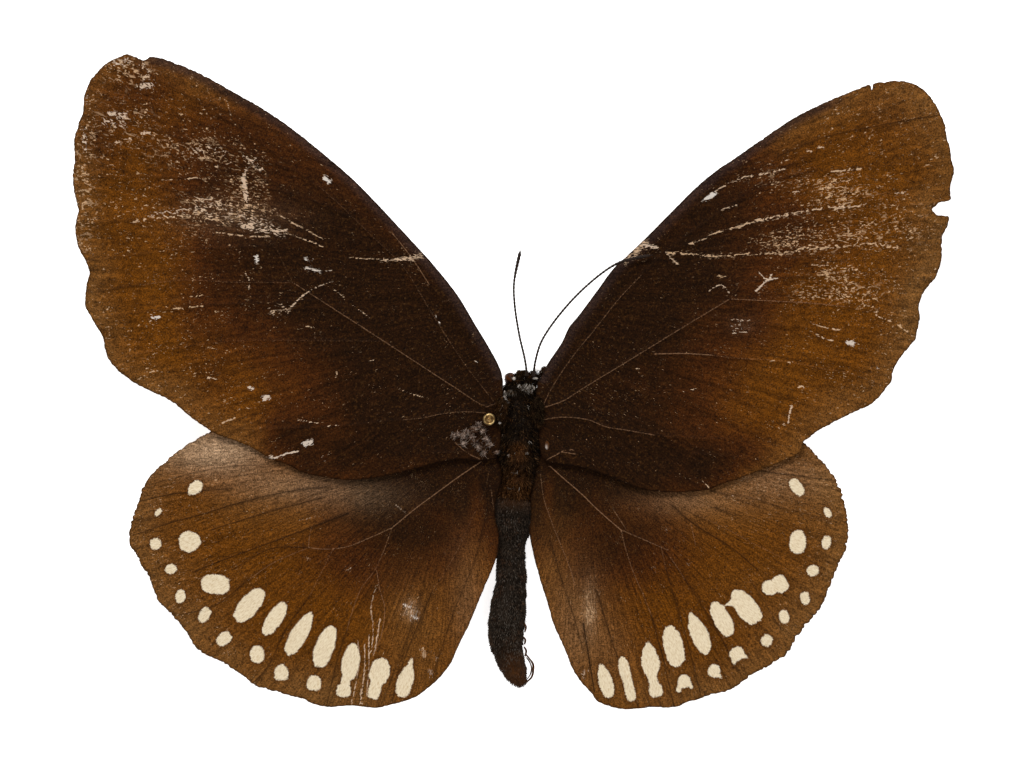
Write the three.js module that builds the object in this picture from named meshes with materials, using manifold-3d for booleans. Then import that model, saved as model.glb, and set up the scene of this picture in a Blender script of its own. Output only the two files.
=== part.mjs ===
// A spread, pinned brown butterfly, lying on its legs with the upper sides of its wings showing.
// Millimetres, +Z up, +Y towards the head and +X towards the specimen's right wings.
// The origin is under the middle of the whole outline, on the surface that the specimen rests on.
import * as THREE from "three";
import { mergeVertices } from "three/addons/utils/BufferGeometryUtils.js";
import Module from "manifold-3d";

const wasm = await Module();
wasm.setup();

// Driving dimensions
const WING_ROOT_HEIGHT = 3.55; // middle of the hindwing membrane beside the body
const WING_RISE = 0.024; // height gained per millimetre out from the body
const WING_ARCH = 0.35; // how far the middle of the span bows up
const WING_REACH = 40;
const WING_RIPPLE = 0.09;
const WING_THICKNESS = 0.22;
const FOREWING_LIFT = 0.66; // the forewings lie on top of the hindwings
const GRID_STEP = 6.5;
const VEIN_RADIUS = 0.17;
const CLEARANCE = 0.12; // between pieces that touch on the real specimen
const BODY_X = 0.6; // the body lies a little right of the middle of the outline
const THORAX_HEIGHT = 2.55; // height of its axis
const THORAX_DEPTH = 1.27; // depth over width
const ABDOMEN_DEPTH = 0.95;
const PIN_AT = [-2.17, -3.43];
const PIN_RADIUS = 0.22;
const PIN_HEAD_RADIUS = 0.57;
const PIN_POINT = 0.35;
const PIN_TOP = 5.72;
const EYE_RADIUS = 0.52;
const BODY_SIDES = 14;

const COLOURS = {
  darkBrown: 0x2a1509,
  brown: 0x46280f,
  black: 0x0f0b09,
  eye: 0x5a2e12,
  brass: 0xb08d3c,
};

// Outlines, in millimetres, along the front edge from the root to the tip and back along the outer and rear edges
const FOREWING_LEFT = {
  outline: [
    [-0.93, 0.2], [-1.13, 1.07], [-2.0, 2.8], [-3.35, 5.05], [-5.0, 7.8], [-7.0, 10.35], [-10.0, 13.65],
    [-14.4, 18.25], [-18.0, 21.35], [-23.0, 25.0], [-28.0, 27.8], [-32.0, 29.4], [-33.1, 29.5],
    [-33.5, 29.2], [-35.0, 29.77], [-37.0, 28.9], [-38.35, 27.5], [-39.0, 25.8], [-39.1, 24.4],
    [-39.9, 22.0], [-39.85, 20.0], [-40.05, 18.5], [-39.5, 15.5], [-39.8, 14.0], [-39.4, 11.9],
    [-38.5, 9.9], [-38.87, 7.8], [-38.87, 6.8], [-37.95, 5.1], [-37.2, 3.6], [-36.7, 1.9],
    [-35.0, 0.25], [-33.0, -0.85], [-30.7, -2.1], [-28.5, -3.85], [-27.55, -4.48], [-25.0, -5.5],
    [-22.2, -7.0], [-19.1, -8.3], [-15.3, -8.95], [-10.7, -8.4], [-6.9, -7.4], [-5.0, -7.05],
    [-3.2, -7.2], [-1.75, -6.9], [-1.6, -5.5], [-1.5, -4.0], [-1.2, -2.6], [-0.95, -1.2],
  ],
  veins: [
    [[-1.9, -0.6], [-3.4, 2.4], [-5.3, 5.6], [-7.6, 8.9], [-10.9, 13.3]],
    [[-2.0, -1.6], [-4.4, 1.6], [-7.2, 5.9], [-9.9, 9.9], [-13.0, 13.4], [-19.5, 19.0], [-29.0, 25.6], [-33.0, 27.9]],
    [[-2.5, -2.3], [-9.8, 2.4], [-14.1, 5.3], [-20.0, 9.0], [-30.0, 9.2], [-37.9, 8.2]],
    [[-20.0, 9.0], [-21.6, 12.3], [-20.0, 13.3], [-15.0, 12.0], [-11.5, 11.3]],
    [[-21.6, 12.3], [-30.0, 11.9], [-38.2, 10.9]],
    [[-20.0, 13.3], [-25.0, 14.0], [-30.0, 14.7], [-39.0, 14.3]],
    [[-14.5, 14.8], [-20.0, 17.0], [-29.0, 18.4], [-39.3, 18.5]],
    [[-19.5, 19.0], [-25.0, 21.0], [-38.4, 24.6]],
    [[-17.4, 7.4], [-22.0, 7.1], [-28.0, 6.9], [-37.6, 5.7]],
    [[-11.9, 3.7], [-18.0, 3.7], [-24.6, 3.7], [-36.4, 2.3]],
    [[-3.0, -2.8], [-6.2, -2.9], [-10.0, -3.5], [-16.0, -4.1], [-26.6, -4.4]],
    [[-5.0, -5.75], [-4.2, -6.4], [-2.6, -6.75]],
  ],
};

const FOREWING_RIGHT = {
  outline: [
    [2.27, 0.0], [3.1, 1.55], [4.4, 3.5], [6.0, 6.05], [7.7, 8.35], [10.0, 11.1], [13.3, 14.3],
    [18.5, 19.2], [22.5, 21.95], [26.7, 24.6], [30.0, 26.1], [32.4, 26.95], [32.6, 26.5],
    [32.8, 27.03], [35.0, 27.35], [37.15, 26.65], [38.5, 25.05], [39.3, 23.3], [39.85, 20.2],
    [40.1, 19.1], [39.75, 17.6], [39.75, 16.5], [38.8, 16.2], [38.1, 15.6], [38.45, 15.25],
    [39.6, 15.08], [39.1, 13.3], [39.0, 11.4], [38.4, 9.4], [37.4, 8.2], [36.9, 6.6], [37.0, 5.8],
    [36.57, 3.8], [34.8, 1.5], [34.45, 0.1], [32.6, -2.05], [30.0, -3.3], [27.9, -4.4],
    [26.4, -5.55], [25.7, -6.7], [23.3, -7.8], [20.4, -8.9], [16.4, -10.0], [11.95, -9.85],
    [9.0, -8.75], [6.2, -7.8], [4.7, -7.6], [3.0, -7.1], [2.8, -5.5], [2.7, -4.0], [2.4, -2.6],
    [2.15, -1.2],
  ],
  veins: [
    [[3.0, -1.0], [4.8, 2.2], [7.6, 6.0], [10.7, 9.8], [13.5, 12.9], [17.0, 16.2]],
    [[3.2, -2.0], [5.6, 1.7], [8.0, 4.9], [10.8, 8.2], [14.0, 11.4], [19.0, 15.5], [24.0, 18.9], [34.5, 24.9]],
    [[3.4, -2.4], [10.0, 1.6], [15.0, 4.8], [19.7, 7.5], [28.0, 7.1], [36.2, 5.9]],
    [[19.7, 7.5], [20.9, 9.3], [20.0, 11.5]],
    [[20.9, 9.3], [30.0, 9.6], [37.4, 9.2]],
    [[14.0, 11.4], [20.0, 11.5], [28.2, 12.2], [38.2, 12.5]],
    [[15.0, 12.2], [20.4, 14.0], [27.1, 15.5], [37.4, 16.2]],
    [[19.0, 15.5], [25.0, 18.6], [31.0, 19.3], [39.3, 20.0]],
    [[24.0, 18.9], [30.0, 22.4], [38.1, 24.3]],
    [[17.0, 5.95], [21.0, 5.4], [30.0, 4.5], [35.4, 3.2]],
    [[11.0, 2.2], [13.0, 2.5], [18.0, 2.4], [28.2, 1.2], [33.7, -0.3]],
    [[3.4, -3.5], [5.2, -3.25], [8.4, -4.1], [12.7, -4.85], [25.3, -6.2]],
    [[3.5, -6.9], [4.4, -6.4], [5.4, -6.2]],
  ],
};

const HINDWING_LEFT = {
  outline: [
    [-1.9, -6.6], [-4.0, -4.4], [-9.0, -3.2], [-15.0, -2.6], [-21.0, -2.6], [-25.5, -3.4],
    [-28.9, -5.2], [-31.3, -6.9], [-33.65, -9.4], [-34.6, -12.1], [-35.0, -14.2], [-34.3, -15.85],
    [-33.1, -17.9], [-32.25, -20.1], [-30.95, -21.4], [-29.1, -23.95], [-27.0, -25.3],
    [-23.5, -27.7], [-20.7, -28.5], [-17.9, -29.45], [-14.9, -29.5], [-12.35, -29.7], [-10.0, -29.15],
    [-7.7, -27.9], [-5.6, -25.6], [-4.1, -22.4], [-2.6, -18.8], [-1.6, -15.5], [-1.45, -12.5],
    [-1.75, -9.0],
  ],
  veins: [
    [[-3.0, -6.6], [-8.0, -6.4], [-20.0, -7.4], [-27.0, -7.9], [-32.2, -9.2]],
    [[-9.0, -8.6], [-20.0, -10.1], [-28.0, -12.2], [-34.1, -14.0]],
    [[-17.5, -11.8], [-24.0, -12.3], [-33.4, -16.0]],
    [[-18.6, -15.1], [-18.3, -13.3], [-22.0, -14.6], [-31.9, -18.6]],
    [[-3.0, -7.35], [-8.0, -10.9], [-11.0, -13.3], [-15.0, -15.0], [-18.6, -15.1], [-24.0, -18.0], [-30.3, -21.0]],
    [[-16.4, -15.4], [-18.5, -19.5], [-20.8, -22.9], [-23.2, -26.8]],
    [[-11.0, -13.3], [-12.6, -17.2], [-14.8, -21.5], [-16.8, -28.6]],
    [[-12.3, -17.3], [-11.7, -20.3], [-12.3, -24.0], [-13.6, -28.8]],
    [[-2.7, -9.0], [-4.7, -14.6], [-7.3, -19.0], [-9.6, -24.5], [-11.0, -28.6]],
    [[-2.3, -11.5], [-3.4, -16.0], [-5.4, -21.0], [-7.0, -25.8]],
  ],
};

const HINDWING_RIGHT = {
  outline: [
    [3.1, -6.6], [5.0, -5.0], [9.0, -4.0], [14.0, -3.6], [19.5, -3.6], [24.0, -4.4],
    [26.5, -5.5], [28.4, -7.45], [29.87, -9.8], [30.5, -12.3], [30.6, -13.7], [30.25, -15.5],
    [29.3, -17.7], [28.4, -20.0], [27.05, -21.8], [25.4, -24.2], [24.1, -25.35], [20.5, -27.7],
    [18.1, -28.5], [15.1, -29.55], [13.1, -29.65], [10.3, -29.86], [7.65, -29.1], [6.2, -27.4],
    [4.7, -24.4], [3.1, -20.1], [1.87, -15.85], [1.45, -13.4], [1.6, -11.0], [2.6, -8.6],
  ],
  veins: [
    [[4.0, -6.8], [8.0, -6.8], [20.0, -7.9], [28.6, -9.0]],
    [[10.0, -9.6], [18.0, -10.0], [24.0, -11.3], [29.8, -13.2]],
    [[14.5, -11.3], [19.0, -13.2], [24.0, -15.8], [28.0, -19.1]],
    [[16.2, -13.0], [16.6, -14.9], [20.8, -17.5], [25.3, -23.2]],
    [[3.4, -7.8], [7.5, -11.5], [9.8, -13.6], [14.0, -15.3], [17.7, -20.6], [20.3, -27.0]],
    [[13.7, -15.4], [14.2, -17.6], [15.6, -23.0], [17.1, -28.2]],
    [[9.8, -13.6], [11.0, -17.5], [12.6, -21.3], [14.5, -28.8]],
    [[8.0, -19.5], [9.6, -24.5], [11.3, -29.0]],
    [[3.3, -9.4], [3.8, -13.0], [5.3, -17.3], [7.0, -23.0], [7.6, -28.1]],
  ],
};

// Half widths and places across the body of each station along its length: [radius, y, x of the middle]
const THORAX_PROFILE = [
  [0.95, -10.05], [1.3, -9.6], [1.6, -9.1], [1.55, -8.55], [1.85, -7.9], [2.0, -7.2], [1.98, -6.7],
  [2.15, -5.7], [2.1, -4.3], [1.8, -2.8], [1.3, -1.7], [0.75, -1.1],
];
const ABDOMEN_STATIONS = [
  [0.45, -27.7, 0.85], [0.78, -27.3, 0.65], [1.2, -26.4, 0.25], [1.35, -25.2, -0.25],
  [1.58, -23.9, -0.58], [1.75, -22.6, -0.6], [1.72, -21.4, -0.48], [1.67, -20.0, -0.38],
  [1.52, -19.2, -0.28], [1.45, -18.0, -0.15], [1.4, -16.5, -0.2], [1.38, -15.0, -0.22],
  [1.58, -13.5, -0.1], [1.75, -12.0, 0.05], [1.62, -10.9, 0.25], [1.05, -10.4, 0.35],
];
const ABDOMEN_RINGS = [-25.9, -24.4, -22.4, -20.3, -18.2, -16.1, -14.0, -12.1]; // rear edges of its segments
const RING_STEP = 0.12;
const ABDOMEN_FRONT_HEIGHT = 2.2;
const ABDOMEN_REAR_HEIGHT = 1.58; // it sags on to the surface

// Legs as the places of hip, knee, ankle and toes, on the specimen's left; the right ones are mirrored
const LEGS = {
  leg_middle: [[-1.75, -3.2, 0.85], [-3.6, -1.0, 2.5], [-4.6, 1.8, 0.55], [-5.0, 3.3, 0.13], [-5.1, 4.4, 0.13]],
  leg_hind: [[-1.75, -6.8, 0.85], [-4.6, -9.2, 2.3], [-5.2, -12.4, 0.55], [-5.5, -14.2, 0.13], [-5.6, -15.6, 0.13]],
};
const LEG_RADII = [0.34, 0.22, 0.15, 0.14, 0.1];
const FORELEG_LEFT = [[-0.2, -0.95, 0.9], [-0.5, 0.0, 1.5], [-0.5, 0.5, 2.05], [-0.3, 0.1, 1.0]];
const FORELEG_RIGHT = [[1.55, -0.95, 0.9], [2.4, 0.25, 2.1], [2.85, 1.1, 3.15], [2.75, 0.9, 2.2], [2.5, 0.3, 1.3]];
const FORELEG_LEFT_RADII = [0.2, 0.16, 0.16, 0.1];
const FORELEG_RIGHT_RADII = [0.2, 0.2, 0.34, 0.2, 0.1];
const ANTENNA_LEFT = [
  [1.28, 0.55, 3.95], [1.1, 1.9, 4.3], [0.55, 4.33, 4.7], [0.14, 7.1, 4.9], [0.1, 9.0, 4.9], [0.68, 11.96, 4.75],
];
const ANTENNA_RIGHT = [
  [1.85, 0.5, 3.95], [2.05, 1.9, 4.35], [2.67, 3.8, 4.85], [5.1, 7.1, 5.4], [8.0, 9.78, 5.6], [9.8, 10.85, 5.62],
  [12.7, 11.5, 5.6],
];
const ANTENNA_RADII = [0.1, 0.08, 0.08, 0.1, 0.13, 0.1];

// Height of the hindwings' middle surface; the forewings follow it, higher up.
function sheetHeight(x, y) {
  const out = Math.abs(x - BODY_X);
  const bow = WING_ARCH * Math.sin(Math.PI * Math.min(1, out / WING_REACH));
  const ripple = WING_RIPPLE * Math.sin(0.33 * x + 0.5) * Math.cos(0.27 * y) * Math.min(1, out / 8);
  return WING_ROOT_HEIGHT + WING_RISE * out + bow + ripple;
}

function toSolid(geometry) {
  const bare = geometry.clone();
  bare.deleteAttribute("normal");
  bare.deleteAttribute("uv");
  const merged = mergeVertices(bare, 1e-4);
  return new wasm.Manifold(
    new wasm.Mesh({
      numProp: 3,
      vertProperties: new Float32Array(merged.attributes.position.array),
      triVerts: new Uint32Array(merged.index.array),
    }),
  );
}

function toGeometry(solid) {
  const mesh = solid.getMesh();
  const geometry = new THREE.BufferGeometry();
  geometry.setAttribute("position", new THREE.BufferAttribute(new Float32Array(mesh.vertProperties), 3));
  geometry.setIndex(new THREE.BufferAttribute(new Uint32Array(mesh.triVerts), 1));
  geometry.computeVertexNormals();
  return geometry;
}

function moveVertices(geometry, place) {
  const position = geometry.attributes.position;
  const point = new THREE.Vector3();
  for (let i = 0; i < position.count; i++) {
    point.fromBufferAttribute(position, i);
    place(point);
    position.setXYZ(i, point.x, point.y, point.z);
  }
  return geometry;
}

// A round, tapered rod bent along a smooth line through the given points.
function rodAlong(points, radii, sides, stepsPerSpan, flatness = 1) {
  const line = new THREE.CatmullRomCurve3(points.map((p) => new THREE.Vector3(...p)), false, "centripetal");
  const steps = stepsPerSpan * (points.length - 1);
  const radiusAt = (u) => {
    const place = u * (radii.length - 1);
    const i = Math.min(radii.length - 2, Math.floor(place));
    return THREE.MathUtils.lerp(radii[i], radii[i + 1], place - i);
  };
  const profile = [new THREE.Vector2(0, 0)];
  for (let i = 0; i <= steps; i++) profile.push(new THREE.Vector2(radiusAt(i / steps), i / steps));
  profile.push(new THREE.Vector2(0, 1));
  const rod = new THREE.LatheGeometry(profile, sides);
  return moveVertices(rod, (p) => {
    const middle = line.getPoint(p.y);
    const ahead = line.getTangent(p.y);
    const side = new THREE.Vector3(ahead.y, -ahead.x, 0).normalize();
    const up = new THREE.Vector3().crossVectors(side, ahead);
    const across = p.x;
    const rise = p.z * flatness;
    p.copy(middle).addScaledVector(side, across).addScaledVector(up, rise);
  });
}

const restingFloor = toSolid(new THREE.BoxGeometry(200, 200, 20).translate(0, 0, 10)); // everything above z = 0

function wing({ outline, veins }, lift, pinHole) {
  const corners = outline.map(([x, y]) => new THREE.Vector2(x, y));
  const box = new THREE.Box2().setFromPoints(corners);
  const size = box.getSize(new THREE.Vector2()).addScalar(2);
  const middle = box.getCenter(new THREE.Vector2());
  const columns = Math.ceil(size.x / GRID_STEP);
  const rows = Math.ceil(size.y / GRID_STEP);
  const slab = new THREE.BoxGeometry(size.x, size.y, WING_THICKNESS, columns, rows, 1);
  moveVertices(slab, (p) => {
    p.x += middle.x;
    p.y += middle.y;
    p.z += sheetHeight(p.x, p.y) + lift;
  });
  const cutter = new THREE.ExtrudeGeometry(new THREE.Shape(corners), { depth: 12, bevelEnabled: false });
  let solid = toSolid(slab).intersect(toSolid(cutter));
  for (const vein of veins) {
    const raised = vein.map(([x, y]) => [x, y, sheetHeight(x, y) + lift + WING_THICKNESS / 2]);
    solid = solid.add(toSolid(rodAlong(raised, [VEIN_RADIUS, VEIN_RADIUS / 2], 3, 1, 0.7)));
  }
  if (pinHole) {
    const drill = new THREE.CylinderGeometry(PIN_RADIUS + CLEARANCE, PIN_RADIUS + CLEARANCE, 12, 10);
    drill.rotateX(Math.PI / 2).translate(...PIN_AT, 4);
    solid = solid.subtract(toSolid(drill));
  }
  return toGeometry(solid);
}

function thorax() {
  const profile = THORAX_PROFILE.map(([r, y]) => new THREE.Vector2(r, y));
  profile.unshift(new THREE.Vector2(0, THORAX_PROFILE[0][1]));
  profile.push(new THREE.Vector2(0, THORAX_PROFILE.at(-1)[1]));
  const shell = new THREE.LatheGeometry(profile, BODY_SIDES);
  moveVertices(shell, (p) => p.set(BODY_X + p.x, p.y, THORAX_HEIGHT + THORAX_DEPTH * p.z));
  return toGeometry(toSolid(shell).intersect(restingFloor));
}

// Radius and middle of the abdomen at a place along it; each segment narrows towards the next one's front edge.
function abdomenAt(y) {
  let i = 0;
  while (i < ABDOMEN_STATIONS.length - 2 && ABDOMEN_STATIONS[i + 1][1] < y) i++;
  const [a, b] = [ABDOMEN_STATIONS[i], ABDOMEN_STATIONS[i + 1]];
  const share = (y - a[1]) / (b[1] - a[1]);
  const share01 = THREE.MathUtils.clamp(share, 0, 1);
  return [THREE.MathUtils.lerp(a[0], b[0], share01), THREE.MathUtils.lerp(a[2], b[2], share01)];
}

function abdomen() {
  const rear = ABDOMEN_STATIONS[0][1];
  const front = ABDOMEN_STATIONS.at(-1)[1];
  const places = [rear, rear + 0.4];
  for (const ring of ABDOMEN_RINGS) places.push(ring - 0.08, ring + 0.08);
  places.push(-10.9, front);
  const profile = [new THREE.Vector2(0, rear)];
  places.forEach((y, i) => {
    const justBehindRing = i >= 2 && i % 2 === 0 && i < places.length - 2;
    const radius = abdomenAt(y)[0] - (justBehindRing ? RING_STEP : 0);
    profile.push(new THREE.Vector2(radius, y));
  });
  profile.push(new THREE.Vector2(0, front));
  const shell = new THREE.LatheGeometry(profile, BODY_SIDES);
  moveVertices(shell, (p) => {
    const along = (front - p.y) / (front + 22);
    const height = THREE.MathUtils.lerp(ABDOMEN_FRONT_HEIGHT, ABDOMEN_REAR_HEIGHT, Math.min(1, along));
    p.set(p.x + abdomenAt(p.y)[1], p.y, height + ABDOMEN_DEPTH * p.z);
  });
  return toGeometry(toSolid(shell).intersect(restingFloor));
}

const HEAD_AT = [0.75, 0.02, 3.0];
const HEAD_HALF = [1.05, 0.8, 0.85];
const EYES_AT = { eye_left: [-0.25, 0.3, 3.05], eye_right: [1.75, 0.3, 3.05] };

function head() {
  const core = new THREE.SphereGeometry(1, 14, 8).scale(...HEAD_HALF).translate(...HEAD_AT);
  let solid = toSolid(core);
  for (const place of Object.values(EYES_AT)) {
    const socket = new THREE.SphereGeometry(EYE_RADIUS + CLEARANCE, 12, 8).translate(...place);
    solid = solid.subtract(toSolid(socket));
  }
  return toGeometry(solid);
}

// The sucking tube, coiled up in the plane of symmetry below the head.
function proboscis() {
  const [middleY, middleZ] = [0.5, 1.45];
  const turns = 2.25;
  const points = [];
  for (let i = 0; i <= 18; i++) {
    const angle = Math.PI * 0.5 - (i / 18) * turns * 2 * Math.PI;
    const radius = 0.52 - 0.36 * (i / 18);
    points.push(new THREE.Vector3(BODY_X + 0.15, middleY + radius * Math.cos(angle), middleZ + radius * Math.sin(angle)));
  }
  const path = new THREE.CatmullRomCurve3(points);
  const section = new THREE.Shape(new THREE.EllipseCurve(0, 0, 0.06, 0.06).getPoints(6).slice(0, 6));
  return new THREE.ExtrudeGeometry(section, { steps: 26, bevelEnabled: false, extrudePath: path });
}

function pin() {
  const neck = PIN_TOP - 0.92;
  const headCurve = [
    [0.36, neck], [0.53, neck + 0.2], [PIN_HEAD_RADIUS, neck + 0.45], [0.5, neck + 0.72], [0.28, PIN_TOP - 0.04],
  ];
  const profile = [
    [0, PIN_POINT], [0.05, PIN_POINT], [PIN_RADIUS, PIN_POINT + 0.8], [PIN_RADIUS, neck - 0.02], ...headCurve, [0, PIN_TOP],
  ];
  const turned = new THREE.LatheGeometry(profile.map(([r, h]) => new THREE.Vector2(r, h)), 14);
  return turned.rotateX(Math.PI / 2).translate(...PIN_AT, 0);
}

const specimen = new THREE.Group();

function place(name, geometry, colour, roughness, metalness = 0) {
  const material = new THREE.MeshStandardMaterial({ color: colour, roughness, metalness });
  const mesh = new THREE.Mesh(geometry, material);
  mesh.name = name;
  specimen.add(mesh);
  return mesh;
}

const mirrored = (points) => points.map(([x, y, z]) => [2 * BODY_X - x, y, z]);
const standing = (rod) => toGeometry(toSolid(rod).intersect(restingFloor));

place("hindwing_left", wing(HINDWING_LEFT, 0, true), COLOURS.brown, 0.75);
place("hindwing_right", wing(HINDWING_RIGHT, 0, false), COLOURS.brown, 0.75);
place("forewing_left", wing(FOREWING_LEFT, FOREWING_LIFT, true), COLOURS.darkBrown, 0.75);
place("forewing_right", wing(FOREWING_RIGHT, FOREWING_LIFT, false), COLOURS.darkBrown, 0.75);
place("thorax", thorax(), COLOURS.black, 0.95);
place("abdomen", abdomen(), COLOURS.black, 0.95);
place("head", head(), COLOURS.black, 0.9);
for (const [name, at] of Object.entries(EYES_AT)) {
  place(name, new THREE.SphereGeometry(EYE_RADIUS, 12, 8), COLOURS.eye, 0.35).position.set(...at);
}
for (const [name, side] of [["tegula_left", -1], ["tegula_right", 1]]) {
  const lobe = place(name, new THREE.SphereGeometry(1, 12, 8).scale(0.6, 1.45, 0.22), COLOURS.black, 0.9);
  lobe.position.set(BODY_X + side * 1.62, -2.75, 4.86);
  lobe.rotation.y = side * 0.28;
}
for (const [name, x] of [["palp_left", 0.5], ["palp_right", 1.0]]) {
  const rising = [[x, 0.72, 2.0], [x + 0.02, 0.86, 2.35], [x + 0.05, 0.89, 2.75]];
  place(name, rodAlong(rising, [0.09, 0.14, 0.07], 8, 3), COLOURS.black, 0.9);
}
place("proboscis", proboscis(), COLOURS.black, 0.5);
place("antenna_left", rodAlong(ANTENNA_LEFT, ANTENNA_RADII, 6, 3), COLOURS.black, 0.6);
place("antenna_right", rodAlong(ANTENNA_RIGHT, ANTENNA_RADII, 6, 3), COLOURS.black, 0.6);
place("foreleg_left", rodAlong(FORELEG_LEFT, FORELEG_LEFT_RADII, 6, 3), COLOURS.black, 0.7);
place("foreleg_right", rodAlong(FORELEG_RIGHT, FORELEG_RIGHT_RADII, 6, 3), COLOURS.black, 0.7);
for (const [name, joints] of Object.entries(LEGS)) {
  place(name + "_left", standing(rodAlong(joints, LEG_RADII, 6, 3)), COLOURS.black, 0.7);
  place(name + "_right", standing(rodAlong(mirrored(joints), LEG_RADII, 6, 3)), COLOURS.black, 0.7);
}
place("pin", pin(), COLOURS.brass, 0.3, 1);

export default specimen;
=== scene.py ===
# %% [markdown]
# A spread, pinned butterfly, seen from above.
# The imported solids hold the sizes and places; this file builds the finished surfaces around them.
# The wings are thin closed sheets with fine triangles, so that veins, folds and torn edges are real shape,
# and the wing pattern is a set of soft masks, worked out at each vertex.
# The material turns the masks into scales.

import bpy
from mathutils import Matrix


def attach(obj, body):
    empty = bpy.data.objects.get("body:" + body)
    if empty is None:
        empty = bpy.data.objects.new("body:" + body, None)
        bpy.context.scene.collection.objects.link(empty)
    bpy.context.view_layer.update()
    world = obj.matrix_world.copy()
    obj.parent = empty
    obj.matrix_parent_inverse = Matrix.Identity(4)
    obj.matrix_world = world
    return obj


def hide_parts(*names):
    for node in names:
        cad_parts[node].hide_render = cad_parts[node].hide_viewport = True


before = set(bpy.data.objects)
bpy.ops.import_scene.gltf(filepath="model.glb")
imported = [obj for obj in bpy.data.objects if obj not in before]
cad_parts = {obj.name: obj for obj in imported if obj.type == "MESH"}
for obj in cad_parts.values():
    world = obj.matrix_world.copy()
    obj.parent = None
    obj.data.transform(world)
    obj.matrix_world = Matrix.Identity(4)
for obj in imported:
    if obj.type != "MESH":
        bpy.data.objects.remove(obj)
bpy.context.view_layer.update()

import math
import bpy
import numpy as np
from mathutils import Vector
from mathutils.geometry import delaunay_2d_cdt

MM = 0.001  # Blender works in metres; every size below is in millimetres
rng = np.random.default_rng(11)

# %% [markdown]
# The camera looks straight down on the specimen, as the photograph does.
# A long lens far away keeps the thorax from looking swollen next to the flat wings.
# The field is worked out so that one millimetre at the height of the wings takes eleven pixels.

# %% Camera
IMAGE_WIDTH_PX = 1024
PX_PER_MM = 11.0
IMAGE_MIDDLE = (-0.09, 0.0)  # the point of the specimen's frame under the middle of the image
WING_LEVEL = 4.6
LENS_MM = 250.0
SENSOR_MM = 36.0
CLIP_M = (0.01, 10.0)

field_mm = IMAGE_WIDTH_PX / PX_PER_MM
camera_height = WING_LEVEL + field_mm * LENS_MM / SENSOR_MM
camera_data = bpy.data.cameras.new("camera")
camera_data.lens = LENS_MM
camera_data.sensor_width = SENSOR_MM
camera_data.clip_start, camera_data.clip_end = CLIP_M
camera = bpy.data.objects.new("camera", camera_data)
camera.location = (IMAGE_MIDDLE[0] * MM, IMAGE_MIDDLE[1] * MM, camera_height * MM)
bpy.context.scene.collection.objects.link(camera)
bpy.context.scene.camera = camera
print("camera height mm", round(camera_height, 1))

# %% [markdown]
# A pale floor and broad, soft lamps keep the shadows faint, as on a light table.
# The main lamp stands beyond the head, so each forewing drops a thin shadow on the hindwing behind it.

# %% Floor and lamps
FLOOR_SIZE = 2000.0
FLOOR_DROP = 0.02
ROOM_COLOUR = (1.0, 0.99, 0.97, 1.0)
ROOM_LIGHT = 0.36
# place, width, watts, colour
LAMPS = {
    "main_lamp": ((-120.0, 420.0, 520.0), 260.0, 2.75, (1.0, 0.98, 0.95)),
    "fill_lamp": ((300.0, -260.0, 600.0), 500.0, 1.2, (0.97, 0.98, 1.0)),
}

scene = bpy.context.scene
scene.view_settings.view_transform = "Standard"
world = bpy.data.worlds.new("studio")
scene.world = world
world.use_nodes = True
world.node_tree.nodes["Background"].inputs["Color"].default_value = ROOM_COLOUR
world.node_tree.nodes["Background"].inputs["Strength"].default_value = ROOM_LIGHT
for name, (place_mm, width_mm, watts, colour) in LAMPS.items():
    data = bpy.data.lights.new(name, "AREA")
    data.shape = "DISK"
    data.size = width_mm * MM
    data.energy = watts
    data.color = colour
    lamp = bpy.data.objects.new(name, data)
    lamp.location = Vector(place_mm) * MM
    lamp.rotation_euler = (-lamp.location).to_track_quat("-Z", "Y").to_euler()
    scene.collection.objects.link(lamp)

floor_mesh = bpy.data.meshes.new("floor")
half = FLOOR_SIZE / 2 * MM
corners = [(-half, -half), (half, -half), (half, half), (-half, half)]
floor_mesh.from_pydata([(x, y, -FLOOR_DROP * MM) for x, y in corners], [], [(0, 1, 2, 3)])
floor = bpy.data.objects.new("floor", floor_mesh)
scene.collection.objects.link(floor)

# %% [markdown]
# Every finish here is made from nodes. This small helper keeps a material readable:
# each method adds one or more nodes and gives back their output, so a material reads like a recipe.

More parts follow.
